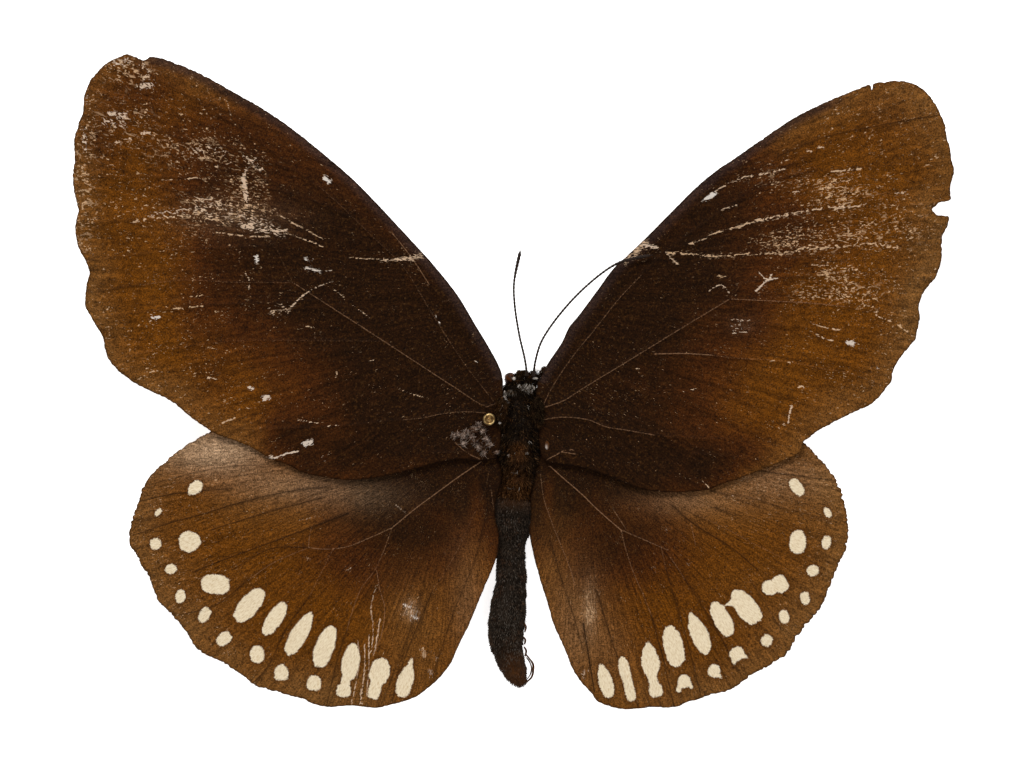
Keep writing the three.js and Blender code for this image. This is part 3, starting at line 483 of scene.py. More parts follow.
# %% Strokes: half width, brightness, tint, points
STROKES = {
    "forewing_left": [
        (0.22, 0.9, 1, [(-17.1, 18.5), (-16.65, 18.15)]), (0.2, 0.8, 1, [(-23.35, 11.35), (-23.25, 10.85)]),
        (0.14, 0.6, 1, [(-19, 11.15), (-18.25, 11.05)]), (0.2, 0.7, 0.8, [(-18.85, 10.35), (-17.55, 10)]),
        (0.1, 0.5, 0.6, [(-17.4, 10.05), (-16.5, 10.1)]), (0.7, 0.34, 0.2, [(-21.6, 6.5), (-20.7, 6.6)]),
        (0.12, 0.5, 0.2, [(-22.2, 6.2), (-20.3, 6.6)]), (0.16, 0.8, 0.9, [(-32.8, 5.8), (-32.1, 5.85)]),
        (0.3, 0.75, 0.6, [(-22.6, -1.5), (-22.25, -1.45)]), (0.16, 0.7, 0.6, [(-24, -0.5), (-23.6, -0.7)]),
        (0.3, 0.8, 0.7, [(-18.95, -5.65), (-18.35, -5.5)]),
        (0.12, 0.85, 0.5, [(-22.4, -7), (-21.5, -6.9), (-20.6, -6.55), (-19.6, -6.4)]),
        (0.2, 0.8, 0.6, [(-22.3, -7), (-22, -6.95)]), (0.1, 0.7, 0.3, [(-22.2, -8.2), (-20.9, -8.05)]),
        (0.12, 0.5, 0.2, [(-19.4, -3.5), (-18.6, -3.65), (-17.8, -3.8)]),
        (0.12, 0.4, 0.2, [(-17, -4.05), (-15.9, -4)]), (0.12, 0.5, 0.1, [(-26.5, -3.8), (-25, -3.2)]),
        (0.12, 0.45, 0.1, [(-25, -2.5), (-23.5, -2.4)]),
        (0.08, 0.3, 0.3, [(-17.4, -6.9), (-17, -6.5), (-16.6, -6.9), (-17, -7.3), (-17.4, -6.9)]),
        (0.16, 0.6, 0.2, [(-12, 11), (-10.6, 11.1), (-9.2, 11.2)]),
        (0.36, 0.5, 0.2, [(-9.4, 11.1), (-8.4, 11.45)]),
        (0.1, 0.5, 0.1, [(-15, 11.3), (-13.5, 11.15), (-12, 11.1)]),
        (0.3, 0.55, 0.3, [(-24.3, 20.4), (-23.7, 19.9), (-22.9, 19.2)]),
        (0.2, 0.55, 0.3, [(-23.4, 20.3), (-23.7, 19.8), (-24.3, 19.1)]),
        (0.26, 0.6, 0.3, [(-24.5, 18.8), (-24.4, 17.7), (-24.2, 16.6)]),
        (0.12, 0.5, 0.2, [(-24.2, 16.4), (-24, 15.4)]),
        (0.08, 0.3, 0.1, [(-25, 21), (-25, 22.6), (-25.7, 24.4), (-26, 25.6)]),
        (0.16, 0.5, 0.1, [(-34.5, 14.55), (-32, 14.9), (-29.5, 15), (-28, 14.9), (-26, 14.4)]),
        (0.45, 0.36, 0.3, [(-33, 15), (-30, 15.5), (-28, 15.7)]),
        (0.95, 0.35, 0.3, [(-27.8, 15.6), (-25.8, 15.2), (-23.8, 14.5), (-22.3, 14)]),
        (0.5, 0.52, 0.3, [(-24.5, 14.3), (-22.6, 13.8), (-20.9, 13.5)]),
        (0.2, 0.5, 0.2, [(-29, 16.6), (-27.5, 16.5), (-26.3, 16.2)]),
        (0.12, 0.5, 0.1, [(-27.5, 13.6), (-24, 13.2), (-22, 13.2)]),
        (0.1, 0.6, 0.1, [(-20.5, 13.4), (-19.3, 13), (-18, 12.6), (-17.3, 12.2)]),
        (0.1, 0.55, 0.1, [(-21.8, 15.6), (-20.4, 14.6), (-19, 13.9), (-17.4, 13)]),
        (0.45, 0.34, 0.3, [(-30, 20.6), (-28, 21.1), (-26.2, 20.9)]),
        (0.1, 0.5, 0.1, [(-31.6, 18.3), (-30, 18.35), (-28.5, 18.6)]),
        (0.1, 0.45, 0.1, [(-31, 19.9), (-29, 20.3), (-27.6, 20.2)]),
        (0.2, 0.4, 0.2, [(-27, 19.5), (-25.6, 19.9)]), (0.4, 0.42, 0.5, [(-36.2, 28.9), (-35, 29.1)]),
        (0.3, 0.4, 0.4, [(-33.9, 28.9), (-33, 28.3)]), (0.3, 0.38, 0.5, [(-39, 23), (-38.9, 21)]),
        (0.3, 0.34, 0.5, [(-38.9, 25), (-38.6, 26.2)]), (0.35, 0.5, 0.4, [(-33.9, 26.8), (-32.7, 27)]),
        (0.2, 0.6, 0.2, [(-33.6, 27.6), (-33.1, 27.7)]), (0.18, 0.6, 0.2, [(-33.8, 28.9), (-33.6, 28.6)]),
        (0.4, 0.46, 0.4, [(-37.1, 23.55), (-36.2, 23.5), (-35.4, 23.3)]),
        (0.35, 0.4, 0.4, [(-36.6, 24.3), (-35.2, 24.2)]), (0.16, 0.6, 0.2, [(-35.2, 23.8), (-34.9, 23.8)]),
        (0.16, 0.6, 0.3, [(-33.7, 22.6), (-32.9, 22.6)]), (0.2, 0.5, 0.2, [(-36.2, 21.7), (-35.7, 21.7)]),
        (0.2, 0.5, 0.2, [(-35.2, 22), (-34.8, 22)]), (0.16, 0.6, 0.4, [(-39, 22.7), (-39, 22.1)]),
        (0.09, 0.5, 0.3, [(-24.3, 9.8), (-23.9, 9.1), (-24, 8.4)]),
        (0.1, 0.6, 0.3, [(-16.3, 9.1), (-17.8, 8.6), (-19.1, 7.8), (-20, 6.9)]),
        (0.1, 0.5, 0.2, [(-16.2, 8.3), (-15.4, 7.7)]), (0.1, 0.45, 0.2, [(-14.5, 6.9), (-13, 5.8)]),
        (0.14, 0.45, 0, [(-34, 0.2), (-33.2, 0.7), (-32.3, 1)]),
        (0.14, 0.5, 0, [(-31, 6.55), (-28.2, 6.9)]), (0.1, 0.5, 0, [(-29, 7.7), (-27.8, 7.9)]),
        (0.12, 0.45, 0, [(-27.7, 3.1), (-25.8, 2.8)]), (0.16, 0.5, 0.2, [(-27.7, 0.4), (-27.05, 0.2)]),
        (0.12, 0.4, 0.1, [(-18.8, 5), (-18, 4.9)]), (0.1, 0.4, 0.1, [(-18, 4.4), (-18, 4)]),
        (0.1, 0.4, 0.1, [(-10.5, -0.6), (-9.3, -1.1), (-8.2, -1.4)]),
        (0.12, 0.45, 0.1, [(-16, 1), (-16.1, 0.4)]), (0.12, 0.4, 0.2, [(-12.9, 1.9), (-12.7, 1.9)]),
        (0.09, 0.9, 0.9, [(-6.7, 5.4), (-6.65, 5.3)]), (0.07, 0.7, 0.9, [(-7, 5.95), (-7, 5.85)]),
        (0.09, 0.9, 0.9, [(-3.35, 1.8), (-3.25, 1.75)]),
    ],
    "forewing_right": [
        (0.22, 0.9, 1, [(17.7, 16.7), (18.3, 17.05)]), (0.14, 0.7, 0.9, [(17.25, 16.4), (17.45, 16.55)]),
        (0.13, 0.55, 0.2, [
            (18.5, 17.4), (20, 18.15), (21.1, 18.6), (22.4, 18.8), (23.7, 19.05), (24.8, 19.35),
        ]),
        (0.12, 0.5, 0.1, [(24.1, 19.75), (25.2, 20.3)]), (0.12, 0.5, 0.2, [(19, 15.6), (20.3, 16)]),
        (0.17, 0.5, 0.05, [
            (14, 11.65), (15.9, 11.65), (17.7, 11.4), (20, 11.5), (21.8, 11.65), (24.3, 11.6),
        ]),
        (0.19, 0.5, 0.05, [
            (24.3, 11.6), (26, 12), (28.2, 12.2), (30.1, 12.25), (31.7, 12.55), (33.6, 12.35),
            (34.9, 12.15),
        ]),
        (0.14, 0.55, 0.1, [(15.9, 12.4), (17.7, 13.15), (18.9, 13.7), (20.4, 14), (22, 14.6)]),
        (0.19, 0.52, 0.15, [
            (22, 14.6), (23.3, 14.8), (25.2, 15.2), (27.1, 15.55), (28.9, 15.75), (30.8, 15.9),
            (32.3, 16.1),
        ]),
        (0.14, 0.6, 0.1, [(28.9, 19.1), (31.5, 19.3)]), (0.16, 0.6, 0.2, [(26.7, 20.9), (27.1, 20.95)]),
        (0.16, 0.6, 0.2, [(27.8, 21.2), (28.2, 21.3)]), (0.16, 0.6, 0.2, [(25.5, 17.2), (25.9, 17.2)]),
        (0.13, 0.6, 0.2, [(34.7, 17.1), (35.9, 17.2)]),
        (0.12, 0.8, 0.4, [(22.1, 8.2), (23.15, 9.2), (23.9, 9.35)]),
        (0.1, 0.8, 0.4, [(22.4, 9.85), (23.15, 9.2), (23.5, 9.7)]),
        (0.1, 0.6, 0.3, [(17.9, 8.3), (18.5, 8.7), (19.1, 8.7), (19.6, 8.1)]),
        (0.5, 0.5, 0.15, [(10.1, 10.9), (10.9, 11.6), (12, 12.6)]),
        (0.16, 0.85, 0.4, [(11.8, 12.45), (12.4, 12.3), (13.1, 12.15)]),
        (0.12, 0.6, 0.2, [(13.9, 11.7), (14.5, 11.1), (15, 10.65)]), (0.7, 0.2, 0.5, [(20.2, 5), (21, 5)]),
        (0.1, 0.5, 0.3, [(19.8, 5.6), (21.5, 5.5)]), (0.1, 0.5, 0.3, [(19.9, 4.4), (21.2, 4.5)]),
        (0.2, 0.5, 0, [(18.7, 9.5), (19.3, 9.5)]), (0.22, 0.85, 0.8, [(30.35, 3.5), (30.95, 3.5)]),
        (0.24, 0.4, 0.6, [(33.05, 1.4), (33.15, 1.2)]),
        (0.12, 0.8, 0.3, [(25.3, -2.2), (25.1, -3), (25, -3.7)]),
        (0.14, 0.6, 0.2, [(24.6, -3.8), (24.6, -4)]),
        (0.1, 0.5, 0.2, [(25.9, -0.6), (26.25, -0.4), (26.5, -0.7)]),
        (0.09, 0.55, 0.1, [(33.3, 6.7), (32.9, 6.1), (34.3, 5.5)]), (0.1, 0.6, 0, [(35, 5.1), (36.2, 4.2)]),
        (0.1, 0.55, 0.1, [(27.1, 5.3), (28.5, 4.85), (29.8, 4.65)]),
        (0.12, 0.6, 0.2, [(27.6, 4.2), (28.9, 3.7)]), (0.14, 0.5, 0.3, [(28.5, 2.6), (28.7, 2.6)]),
        (0.12, 0.5, 0.1, [(23.4, 1.9), (23.8, 1.9)]), (0.12, 0.5, 0.1, [(25, 1.7), (25.4, 1.7)]),
        (0.12, 0.5, 0.2, [(11.3, 1.2), (11.5, 1.2)]),
        (0.1, 0.3, 0.2, [(15.5, -0.9), (17, -0.6), (19, -0.2)]),
        (0.1, 0.6, 0.1, [(17.2, -9), (17.8, -9.6)]), (0.1, 0.45, 0.1, [(27, 10.6), (29.5, 10.5)]),
        (0.09, 0.4, 0.1, [(28.5, 8.3), (31, 8.5)]), (0.09, 0.4, 0.1, [(29.5, 9.9), (32, 10.3)]),
    ],
    "hindwing_left": [
        (0.1, 0.6, 0.2, [(-14.1, -23.7), (-14, -25.5), (-14.3, -27.5), (-14.7, -29.3)]),
        (0.1, 0.6, 0.2, [(-13.5, -23.9), (-13.5, -26), (-13.9, -29.3)]),
        (0.1, 0.6, 0.2, [(-13.1, -23), (-13.1, -25.5), (-13.3, -28.6)]),
        (0.1, 0.55, 0.2, [(-12.4, -18.5), (-12.9, -20.5), (-12.7, -22.6), (-12.9, -24.6)]),
        (0.12, 0.6, 0.2, [(-12.1, -21.6), (-12.4, -23.5), (-12.7, -25)]),
        (0.12, 0.5, 0.2, [(-13.9, -28), (-13.7, -29.3)]), (0.8, 0.28, 0.8, [(-9.4, -20.4), (-9.2, -21.2)]),
        (0.16, 0.55, 0.9, [(-9.9, -20.3), (-9.3, -20.6)]), (0.14, 0.6, 0.9, [(-9.2, -21.3), (-8.7, -21.6)]),
        (0.3, 0.4, 0.1, [(-8.3, -24.3), (-8, -25)]), (0.12, 0.4, 0.3, [(-10.6, -11.3), (-9.8, -11.9)]),
        (0.1, 0.45, 0.3, [(-19.4, -12.6), (-17.8, -12.3)]),
        (0.3, 0.35, 0.5, [(-7.5, -26.9), (-7.5, -26.3)]), (0.2, 0.35, 0.3, [(-7.1, -25.6), (-6.95, -25.2)]),
        (0.3, 0.25, 0.2, [(-18.9, -16.2), (-18.5, -16.2)]), (0.3, 0.25, 0.2, [(-15.2, -17), (-14.8, -17)]),
    ],
    "hindwing_right": [
        (0.12, 0.5, 0.3, [(19.95, -10.4), (20.05, -10.4)]),
        (0.3, 0.25, 0.2, [(13.8, -13.5), (14.2, -13.5)]), (0.3, 0.25, 0.2, [(12.7, -17), (12.9, -17.2)]),
        (0.3, 0.25, 0.2, [(15.8, -16.4), (16, -16.6)]), (0.3, 0.4, 0.4, [(6.4, -26.9), (6.6, -26.3)]),
    ],
}
print("strokes", {name: len(strokes) for name, strokes in STROKES.items()})

# %% [markdown]
# The broad tones are soft regions. Each wing is dark near the body and golden further out, so its core is
# a closed line, and the tone changes between two distances from it: below 0 is inside the line.
# Soft round patches then add to four of the masks: x, y, radius along x, radius along y, strength.

# %% Cores and patches of the broad tones
CORES = {
    "forewing_left": [
        (2, -10), (2, 8), (-8, 16), (-20, 25), (-26, 25), (-29, 20.5), (-29.5, 16), (-29.5, 12), (-28, 7.5),
        (-24.5, 3.5), (-20.5, 0), (-19, -3), (-20, -6), (-21, -10),
    ],
    "forewing_right": [
        (0, -11), (0, 8), (10, 16), (19, 22), (21.5, 20), (21.5, 16), (22.5, 12), (22, 8), (18.5, 4),
        (17.5, 0), (16.5, -4), (15.5, -8), (15.5, -11),
    ],
    "hindwing_left": [
        (0, -4), (-14, -6), (-13.5, -9.5), (-12, -12.5), (-9, -14), (-5, -12.5), (-2.5, -11.5), (0, -12),
    ],
    "hindwing_right": [
        (1, -4), (11, -6), (11.5, -10), (10, -13), (7.5, -14.5), (4.5, -13), (3, -12), (1, -12),
    ],
}
PATCHES = {
    "forewing_left": {
        "tone": [
            (-22, 18, 5, 6, 0.24), (-34, 10, 4, 8, 0.15), (-20.5, -5, 3, 3, -0.45), (-29, 7, 3, 4, -0.2),
            (-34, 22.5, 6.5, 6.5, -0.26), (-28, -1, 3, 4, -0.22), (-28.5, 18, 2.5, 3, -0.12),
            (-34, 27.5, 3.5, 3, -0.4), (-38, 22, 2, 4, -0.3),
        ],
        "tan": [(-38.5, 5, 2, 5, 0.35), (-39, 20, 1.5, 5, 0.15), (-33, -1, 4, 1.5, 0.2)],
        "sheen": [(-25.5, 15, 5, 1.6, 0.08)],
        "wear": [
            (-26, 15.4, 5, 1.6, 0.5), (-24, 18.5, 2.5, 3, 0.4), (-9.5, 11.2, 2.5, 1, 0.5),
            (-35.5, 23.5, 3, 2, 0.3), (-35, 28.3, 2.5, 1.5, 0.4), (-39, 18, 1.2, 6, 0.4),
            (-29, 21, 4, 1.5, 0.4),
        ],
    },
    "forewing_right": {
        "tone": [
            (20, 15, 4, 4, 0.15), (29, 14, 4, 3, -0.25), (22, -6.5, 3, 2, -0.3), (28, 20, 5, 3, -0.1),
            (34.5, 24.5, 4, 3.5, -0.24), (25, 14.5, 3, 4, -0.22), (29.5, 9, 3, 4, -0.12),
            (20.5, 15.5, 3, 4, -0.25), (21, 5, 3, 3, -0.2), (22, -6, 3, 2, -0.15), (9, 0, 5, 3, 0.12),
            (18, -8, 3, 2.5, -0.5), (12.5, -7, 4, 2, -0.2),
        ],
        "tan": [
            (36.5, 6, 2.5, 6, 0.45), (37, 24.5, 3.5, 3.5, 0.3), (38, 12, 2, 5, 0.4),
            (31, -1.5, 4, 1.5, 0.2),
        ],
        "sheen": [(20.8, 5, 1.2, 0.8, 0.05)],
        "wear": [
            (28, 13.3, 5, 1.6, 0.5), (23, 18.5, 4, 1.5, 0.4), (11.5, 12, 1.6, 1.2, 0.5),
            (29.5, 17.3, 2.6, 1.3, 0.75), (29.5, 9.6, 3, 1, 0.55), (28, 8, 3.6, 0.9, 0.6),
            (10.5, -1, 3, 2, 0.3), (35.5, 14.5, 2.5, 2.5, 0.28), (32, 7.5, 2, 1.2, 0.3),
            (24.5, 12.5, 3, 1.2, 0.5),
        ],
    },
    "hindwing_left": {
        "tone": [
            (-3.3, -11, 0.7, 2.2, 0.35), (-4, -15.5, 1.5, 3, 0.3), (-7, -12, 3, 2, 0.15),
            (-12, -24, 3, 5, -0.12), (-18, -17, 5, 4, -0.2), (-14, -18.5, 3, 3, -0.1),
        ],
        "tan": [
            (-22, -11, 7, 2.5, 0.4), (-32.5, -16, 3.5, 5, 0.34), (-28.5, -22, 4.5, 4, 0.35),
            (-16, -28, 11, 3, 0.5), (-4, -20.5, 2, 6, 0.15), (-9, -22, 3, 4, 0.55),
        ],
        "sheen": [
            (-27, -6.3, 4.5, 1.9, 0.84), (-20.5, -9.4, 5, 1.5, 0.27), (-14, -10.4, 4, 1.4, 0.12),
            (-33, -10, 1.5, 2.5, 0.03), (-9.3, -20.8, 0.7, 0.9, 0.25), (-4, -20.5, 1.6, 5, 0.12),
        ],
        "wear": [(-27, -7, 5, 3, 0.15), (-9.3, -20.8, 1, 1, 0.7), (-12.8, -26, 1.2, 4, 0.4)],
    },
    "hindwing_right": {
        "tone": [
            (3.2, -10.5, 0.6, 2.2, 0.4), (16, -17, 4, 4, -0.2), (12, -11.5, 3, 1.6, 0.2),
            (7.5, -12.5, 3, 2.5, 0.25), (5, -16, 1.5, 3, 0.2),
        ],
        "tan": [
            (20, -11, 7, 2.5, 0.45), (28.5, -14, 3, 6, 0.42), (24.5, -21, 4.5, 4, 0.4),
            (13, -28, 11, 3, 0.45), (3.5, -18.5, 2, 6, 0.4), (6.5, -22, 2.5, 4.5, 0.45),
        ],
        "sheen": [
            (24, -8.8, 5, 2, 0.2), (16, -10.8, 4, 1.2, 0.15), (7, -20.8, 0.6, 2.2, 0.22),
            (5.5, -22.5, 2.2, 4.5, 0.12), (9, -24, 2, 3, 0.06),
        ],
        "wear": [(22, -10, 6, 2.5, 0.3), (7, -20.5, 1, 2.6, 0.7), (13, -25, 9, 4, 0.15)],
    },
}
print("patches", {name: sum(map(len, patches.values())) for name, patches in PATCHES.items()})

# %% [markdown]
# Two small tools do most of the work: one lays a smooth curve through a few points,
# the other measures how far each vertex is from such a curve.

# %% Curves and distances
CURVE_SAMPLES = 16  # between two given points
TINY = 1e-9


def smooth_path(points, step, closed=False):
    """An even row of points, step apart, on a centripetal Catmull-Rom curve through the given ones."""
    p = np.array(points, float)
    p = np.vstack([p[-1:], p, p[:2]]) if closed else np.vstack([2 * p[:1] - p[1:2], p, 2 * p[-1:] - p[-2:-1]])
    curve = []
    for i in range(1, len(p) - 2):
        p0, p1, p2, p3 = p[i - 1 : i + 3]
        t1 = math.sqrt(np.linalg.norm(p1 - p0)) + TINY
        t2 = t1 + math.sqrt(np.linalg.norm(p2 - p1)) + TINY
        t3 = t2 + math.sqrt(np.linalg.norm(p3 - p2)) + TINY
        t = np.linspace(t1, t2, CURVE_SAMPLES, endpoint=False)[:, None]
        a1 = ((t1 - t) * p0 + t * p1) / t1
        a2 = ((t2 - t) * p1 + (t - t1) * p2) / (t2 - t1)
        a3 = ((t3 - t) * p2 + (t - t2) * p3) / (t3 - t2)
        b1 = ((t2 - t) * a1 + t * a2) / t2
        b2 = ((t3 - t) * a2 + (t - t1) * a3) / (t3 - t1)
        curve.append(((t2 - t) * b1 + (t - t1) * b2) / (t2 - t1))
    curve = np.vstack(curve + [p[-2:-1]])
    along = np.concatenate([[0], np.cumsum(np.linalg.norm(np.diff(curve, axis=0), axis=1))])
    at = np.linspace(0, along[-1], max(2, round(along[-1] / step) + 1))
    path = np.stack([np.interp(at, along, curve[:, k]) for k in range(curve.shape[1])], axis=1)
    return path[:-1] if closed else path


def distance_to(points, path, closed=False):
    """Each point's distance from the path, and how far along it its nearest place is, from 0 to 1."""
    ends = np.vstack([path[1:], path[:1]]) if closed else path[1:]
    starts = path if closed else path[:-1]
    lengths = np.linalg.norm(ends - starts, axis=1)
    before = np.concatenate([[0], np.cumsum(lengths)])
    best = np.full(len(points), np.inf)
    place = np.zeros(len(points))
    for a, b, length, so_far in zip(starts, ends, lengths, before):
        share = np.clip((points - a) @ (b - a) / max(length, TINY) ** 2, 0, 1)
        gap = points - a - share[:, None] * (b - a)
        far = (gap**2).sum(1)
        nearer = far < best
        best[nearer] = far[nearer]
        place[nearer] = (so_far + share[nearer] * length) / before[-1]
    return np.sqrt(best), place


def is_inside(points, loop):
    """Whether each point is inside a closed line."""
    inside = np.zeros(len(points), bool)
    for a, b in zip(loop, np.roll(loop, -1, axis=0)):
        crosses = (a[1] > points[:, 1]) != (b[1] > points[:, 1])
        if crosses.any():
            x = a[0] + (points[crosses, 1] - a[1]) * (b[0] - a[0]) / (b[1] - a[1])
            inside[crosses] ^= points[crosses, 0] < x
    return inside


def turning(loop):
    """1 where a closed line runs against the clock, -1 where it runs with it."""
    x, y = loop.T
    return np.sign(np.sum(x * np.roll(y, -1) - np.roll(x, -1) * y))


def soft_step(value, low, high):
    """0 below low, 1 above high, smooth between."""
    t = np.clip((value - low) / (high - low), 0, 1)
    return t * t * (3 - 2 * t)


def blobs(points, patches):
    """Soft round patches: x, y, radius along x, radius along y, strength."""
    total = np.zeros(len(points))
    for x, y, rx, ry, strength in patches:
        total += strength * np.exp(-(((points[:, 0] - x) / rx) ** 2) - ((points[:, 1] - y) / ry) ** 2)
    return total


# %% [markdown]
# The height of the wing sheets is the same rule as in the solids: a slight rise from the body, a low bow
# and a faint ripple. The forewings lie a little higher, so that they pass over the hindwings.

# %% Heights of the wing sheets
BODY_X = 0.6
WING_ROOT_HEIGHT = 3.55
WING_RISE = 0.024
WING_BOW = 0.35
WING_REACH = 40.0
WING_RIPPLE = 0.09
FOREWING_LIFT = 0.66


def sheet_height(x, y):
    """The height of a hindwing's middle sheet; a forewing lies FOREWING_LIFT above it."""
    out = np.abs(x - BODY_X)
    bow = WING_BOW * np.sin(np.pi * np.minimum(1, out / WING_REACH))
    ripple = WING_RIPPLE * np.sin(0.33 * x + 0.5) * np.cos(0.27 * y) * np.minimum(1, out / 8)
    return WING_ROOT_HEIGHT + WING_RISE * out + bow + ripple


# %% [markdown]
# The membrane is a triangulated sheet: an even grid inside the outline, with extra rows along each vein and
# stroke, so that thin lines stay sharp. The underside gets a coarser grid and the same rim.
# A constrained Delaunay triangulation joins such points well, and it is quick.

# %% Triangulated wing sheets
GRID_STEP = 0.18
UNDER_STEP = 0.5
RIM_STEP = 0.13
GRID_JITTER = 0.05  # a share of the step
VEIN_STEP = 0.2
VEIN_ROWS = (-0.1, 0.0, 0.1)
STROKE_STEP = 0.16
STROKE_ROWS = (-0.14, 0.0, 0.14)
RIM_CLEARANCE = 0.08
CELL = 0.11  # grid points this near to a row are left out


def ragged_rim(outline, fringe):
    """The outline as an even row of points; fringe is how far its worn edge is cut back, at most."""
    rim = smooth_path(outline, RIM_STEP, closed=True)
    along = np.roll(rim, -1, axis=0) - np.roll(rim, 1, axis=0)
    along /= np.linalg.norm(along, axis=1)[:, None]
    inward = np.stack([-along[:, 1], along[:, 0]], axis=1) * turning(rim)
    bites = np.abs(rng.normal(0, 1, len(rim)))
    bites = np.clip(0.5 * bites + 0.5 * np.convolve(bites, np.ones(3) / 3, "same"), 0, 2)
    outer = soft_step(np.abs(rim[:, 0] - BODY_X), 14, 24)
    return rim + inward * (bites * fringe * (0.3 + 0.7 * outer))[:, None]


def even_grid(loop, step):
    """Points inside a closed line, in rows of even triangles, each moved a little at random."""
    low, high = loop.min(0), loop.max(0)
    rows = np.arange(low[1], high[1], step * math.sqrt(0.75))
    columns = np.arange(low[0], high[0], step)
    x, y = np.meshgrid(columns, rows)
    x = x + (np.arange(len(rows)) % 2 * step / 2)[:, None]
    points = np.stack([x.ravel(), y.ravel()], axis=1)
    points = points + rng.normal(0, step * GRID_JITTER, points.shape)
    return points[is_inside(points, loop)]


def side_rows(path, offsets):
    """Rows of points beside a path, at the given offsets."""
    along = np.gradient(path, axis=0)
    along /= np.linalg.norm(along, axis=1)[:, None] + 1e-12
    across = np.stack([-along[:, 1], along[:, 0]], axis=1)
    return np.vstack([path + across * offset for offset in offsets])


def clear_of_rim(points, rim, gap):
    """The points that are further than gap from the rim."""
    return points[distance_to(points, rim, closed=True)[0] > gap]


def triangulate(rim, inner):
    """Points, faces that look up, and the place of each of the rim's points among the points."""
    points = [Vector(p) for p in np.vstack([rim, inner])]
    edges = [(i, (i + 1) % len(rim)) for i in range(len(rim))]
    made, _, faces, origin, _, _ = delaunay_2d_cdt(points, edges, [], 1, 1e-6)
    made = np.array([tuple(v) for v in made])
    faces = np.array(faces)
    a, b, c = made[faces[:, 0]], made[faces[:, 1]], made[faces[:, 2]]
    turn = (b[:, 0] - a[:, 0]) * (c[:, 1] - a[:, 1]) - (b[:, 1] - a[:, 1]) * (c[:, 0] - a[:, 0])
    faces[turn < 0] = faces[turn < 0][:, ::-1]
    rim_index = np.full(len(rim), -1)
    for new, old in enumerate(origin):
        for k in old:
            if k < len(rim):
                rim_index[k] = new
    return made, faces, rim_index


def wing_sheet(name, rim):
    """A wing's points seen from above, which are the underside's, and the faces that close the sheet."""
    rows = [side_rows(smooth_path(line, VEIN_STEP), VEIN_ROWS) for _, _, line in VEINS[name]]
    rows += [side_rows(smooth_path(line, STROKE_STEP), STROKE_ROWS) for _, _, _, line in STROKES[name]]
    rows = np.vstack(rows)
    rows = clear_of_rim(rows[is_inside(rows, rim)], rim, RIM_CLEARANCE)
    grid = clear_of_rim(even_grid(rim, GRID_STEP), rim, GRID_STEP * 0.55)
    taken = {(int(x / CELL), int(y / CELL)) for x, y in rows}
    near = [(i, j) for i in (-1, 0, 1) for j in (-1, 0, 1)]
    free = [not any((int(x / CELL) + i, int(y / CELL) + j) in taken for i, j in near) for x, y in grid]
    top, top_faces, top_rim = triangulate(rim, np.vstack([rows, grid[free]]))
    coarse = clear_of_rim(even_grid(rim, UNDER_STEP), rim, UNDER_STEP * 0.4)
    low, low_faces, low_rim = triangulate(rim, coarse)
    points = np.vstack([top, low])
    is_low = np.arange(len(points)) >= len(top)
    a, b = top_rim, np.roll(top_rim, -1)
    c, d = np.roll(low_rim, -1) + len(top), low_rim + len(top)
    strip = np.vstack([np.column_stack([a, d, c]), np.column_stack([a, c, b])])
    if turning(rim) < 0:
        strip = strip[:, ::-1]
    return points, is_low, np.vstack([top_faces, low_faces[:, ::-1] + len(top), strip])


def make_object(name, vertices, faces, slot, node, masks, finish):
    """A mesh object in millimetres on the one body, with its masks, finish and the node it stands for."""
    mesh = bpy.data.meshes.new(name)
    mesh.from_pydata((vertices * MM).tolist(), [], faces.tolist())
    for mask_name, values in (masks or {}).items():
        layer = mesh.attributes.new(mask_name, "FLOAT", "POINT")
        layer.data.foreach_set("value", np.asarray(values, np.float32))
    mesh.polygons.foreach_set("use_smooth", np.ones(len(mesh.polygons), bool))
    mesh.update()
    made = bpy.data.objects.new(name, mesh)
    scene.collection.objects.link(made)
    mesh.materials.append(finish)
    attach(made, "root")
    if node:
        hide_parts(node)
    mesh.calc_loop_triangles()
    print(name, len(mesh.loop_triangles), "triangles")


# %% [markdown]
# Now the masks. Each is one number at each vertex, from the distances above.
# A spot's mask is a signed distance, so its edge stays crisp between vertices.

# %% Masks of a wing
SPOT_POINTS = 36
SPOT_RAGGED = 0.035  # a share of the spot's size


def spot_contour(x, y, half_length, half_width, lean, sharp_front, sharp_back):
    """The closed edge of a spot; a sharpness of 0.5 gives a round end, 1 a point and 0.25 a blunt end."""
    angle = np.linspace(0, 2 * np.pi, SPOT_POINTS, endpoint=False)
    cos, sin = np.cos(angle), np.sin(angle)
    power = 2 * np.where(cos > 0, sharp_front, sharp_back)
    along = np.sign(cos) * np.abs(cos) ** power * half_length
    across = np.sign(sin) * np.abs(sin) ** power * half_width
    ragged = 1 + rng.normal(0, SPOT_RAGGED, len(angle))
    turn = math.radians(lean)
    edge_x = x + (along * math.cos(turn) - across * math.sin(turn)) * ragged
    edge_y = y + (along * math.sin(turn) + across * math.cos(turn)) * ragged
    return np.stack([edge_x, edge_y], axis=1)


def spot_field(points, spots):
    """How deep each point is inside the nearest spot, in millimetres; below 0 outside."""
    field = np.full(len(points), -1.0)
    for spot in spots:
        reach = max(spot[2], spot[3]) + 1.0
        near = np.hypot(points[:, 0] - spot[0], points[:, 1] - spot[1]) < reach
        edge = spot_contour(*spot)
        far, _ = distance_to(points[near], edge, closed=True)
        depth = np.where(is_inside(points[near], edge), far, -far)
        field[near] = np.maximum(field[near], depth)
    return np.clip(field, -1.0, 0.6)


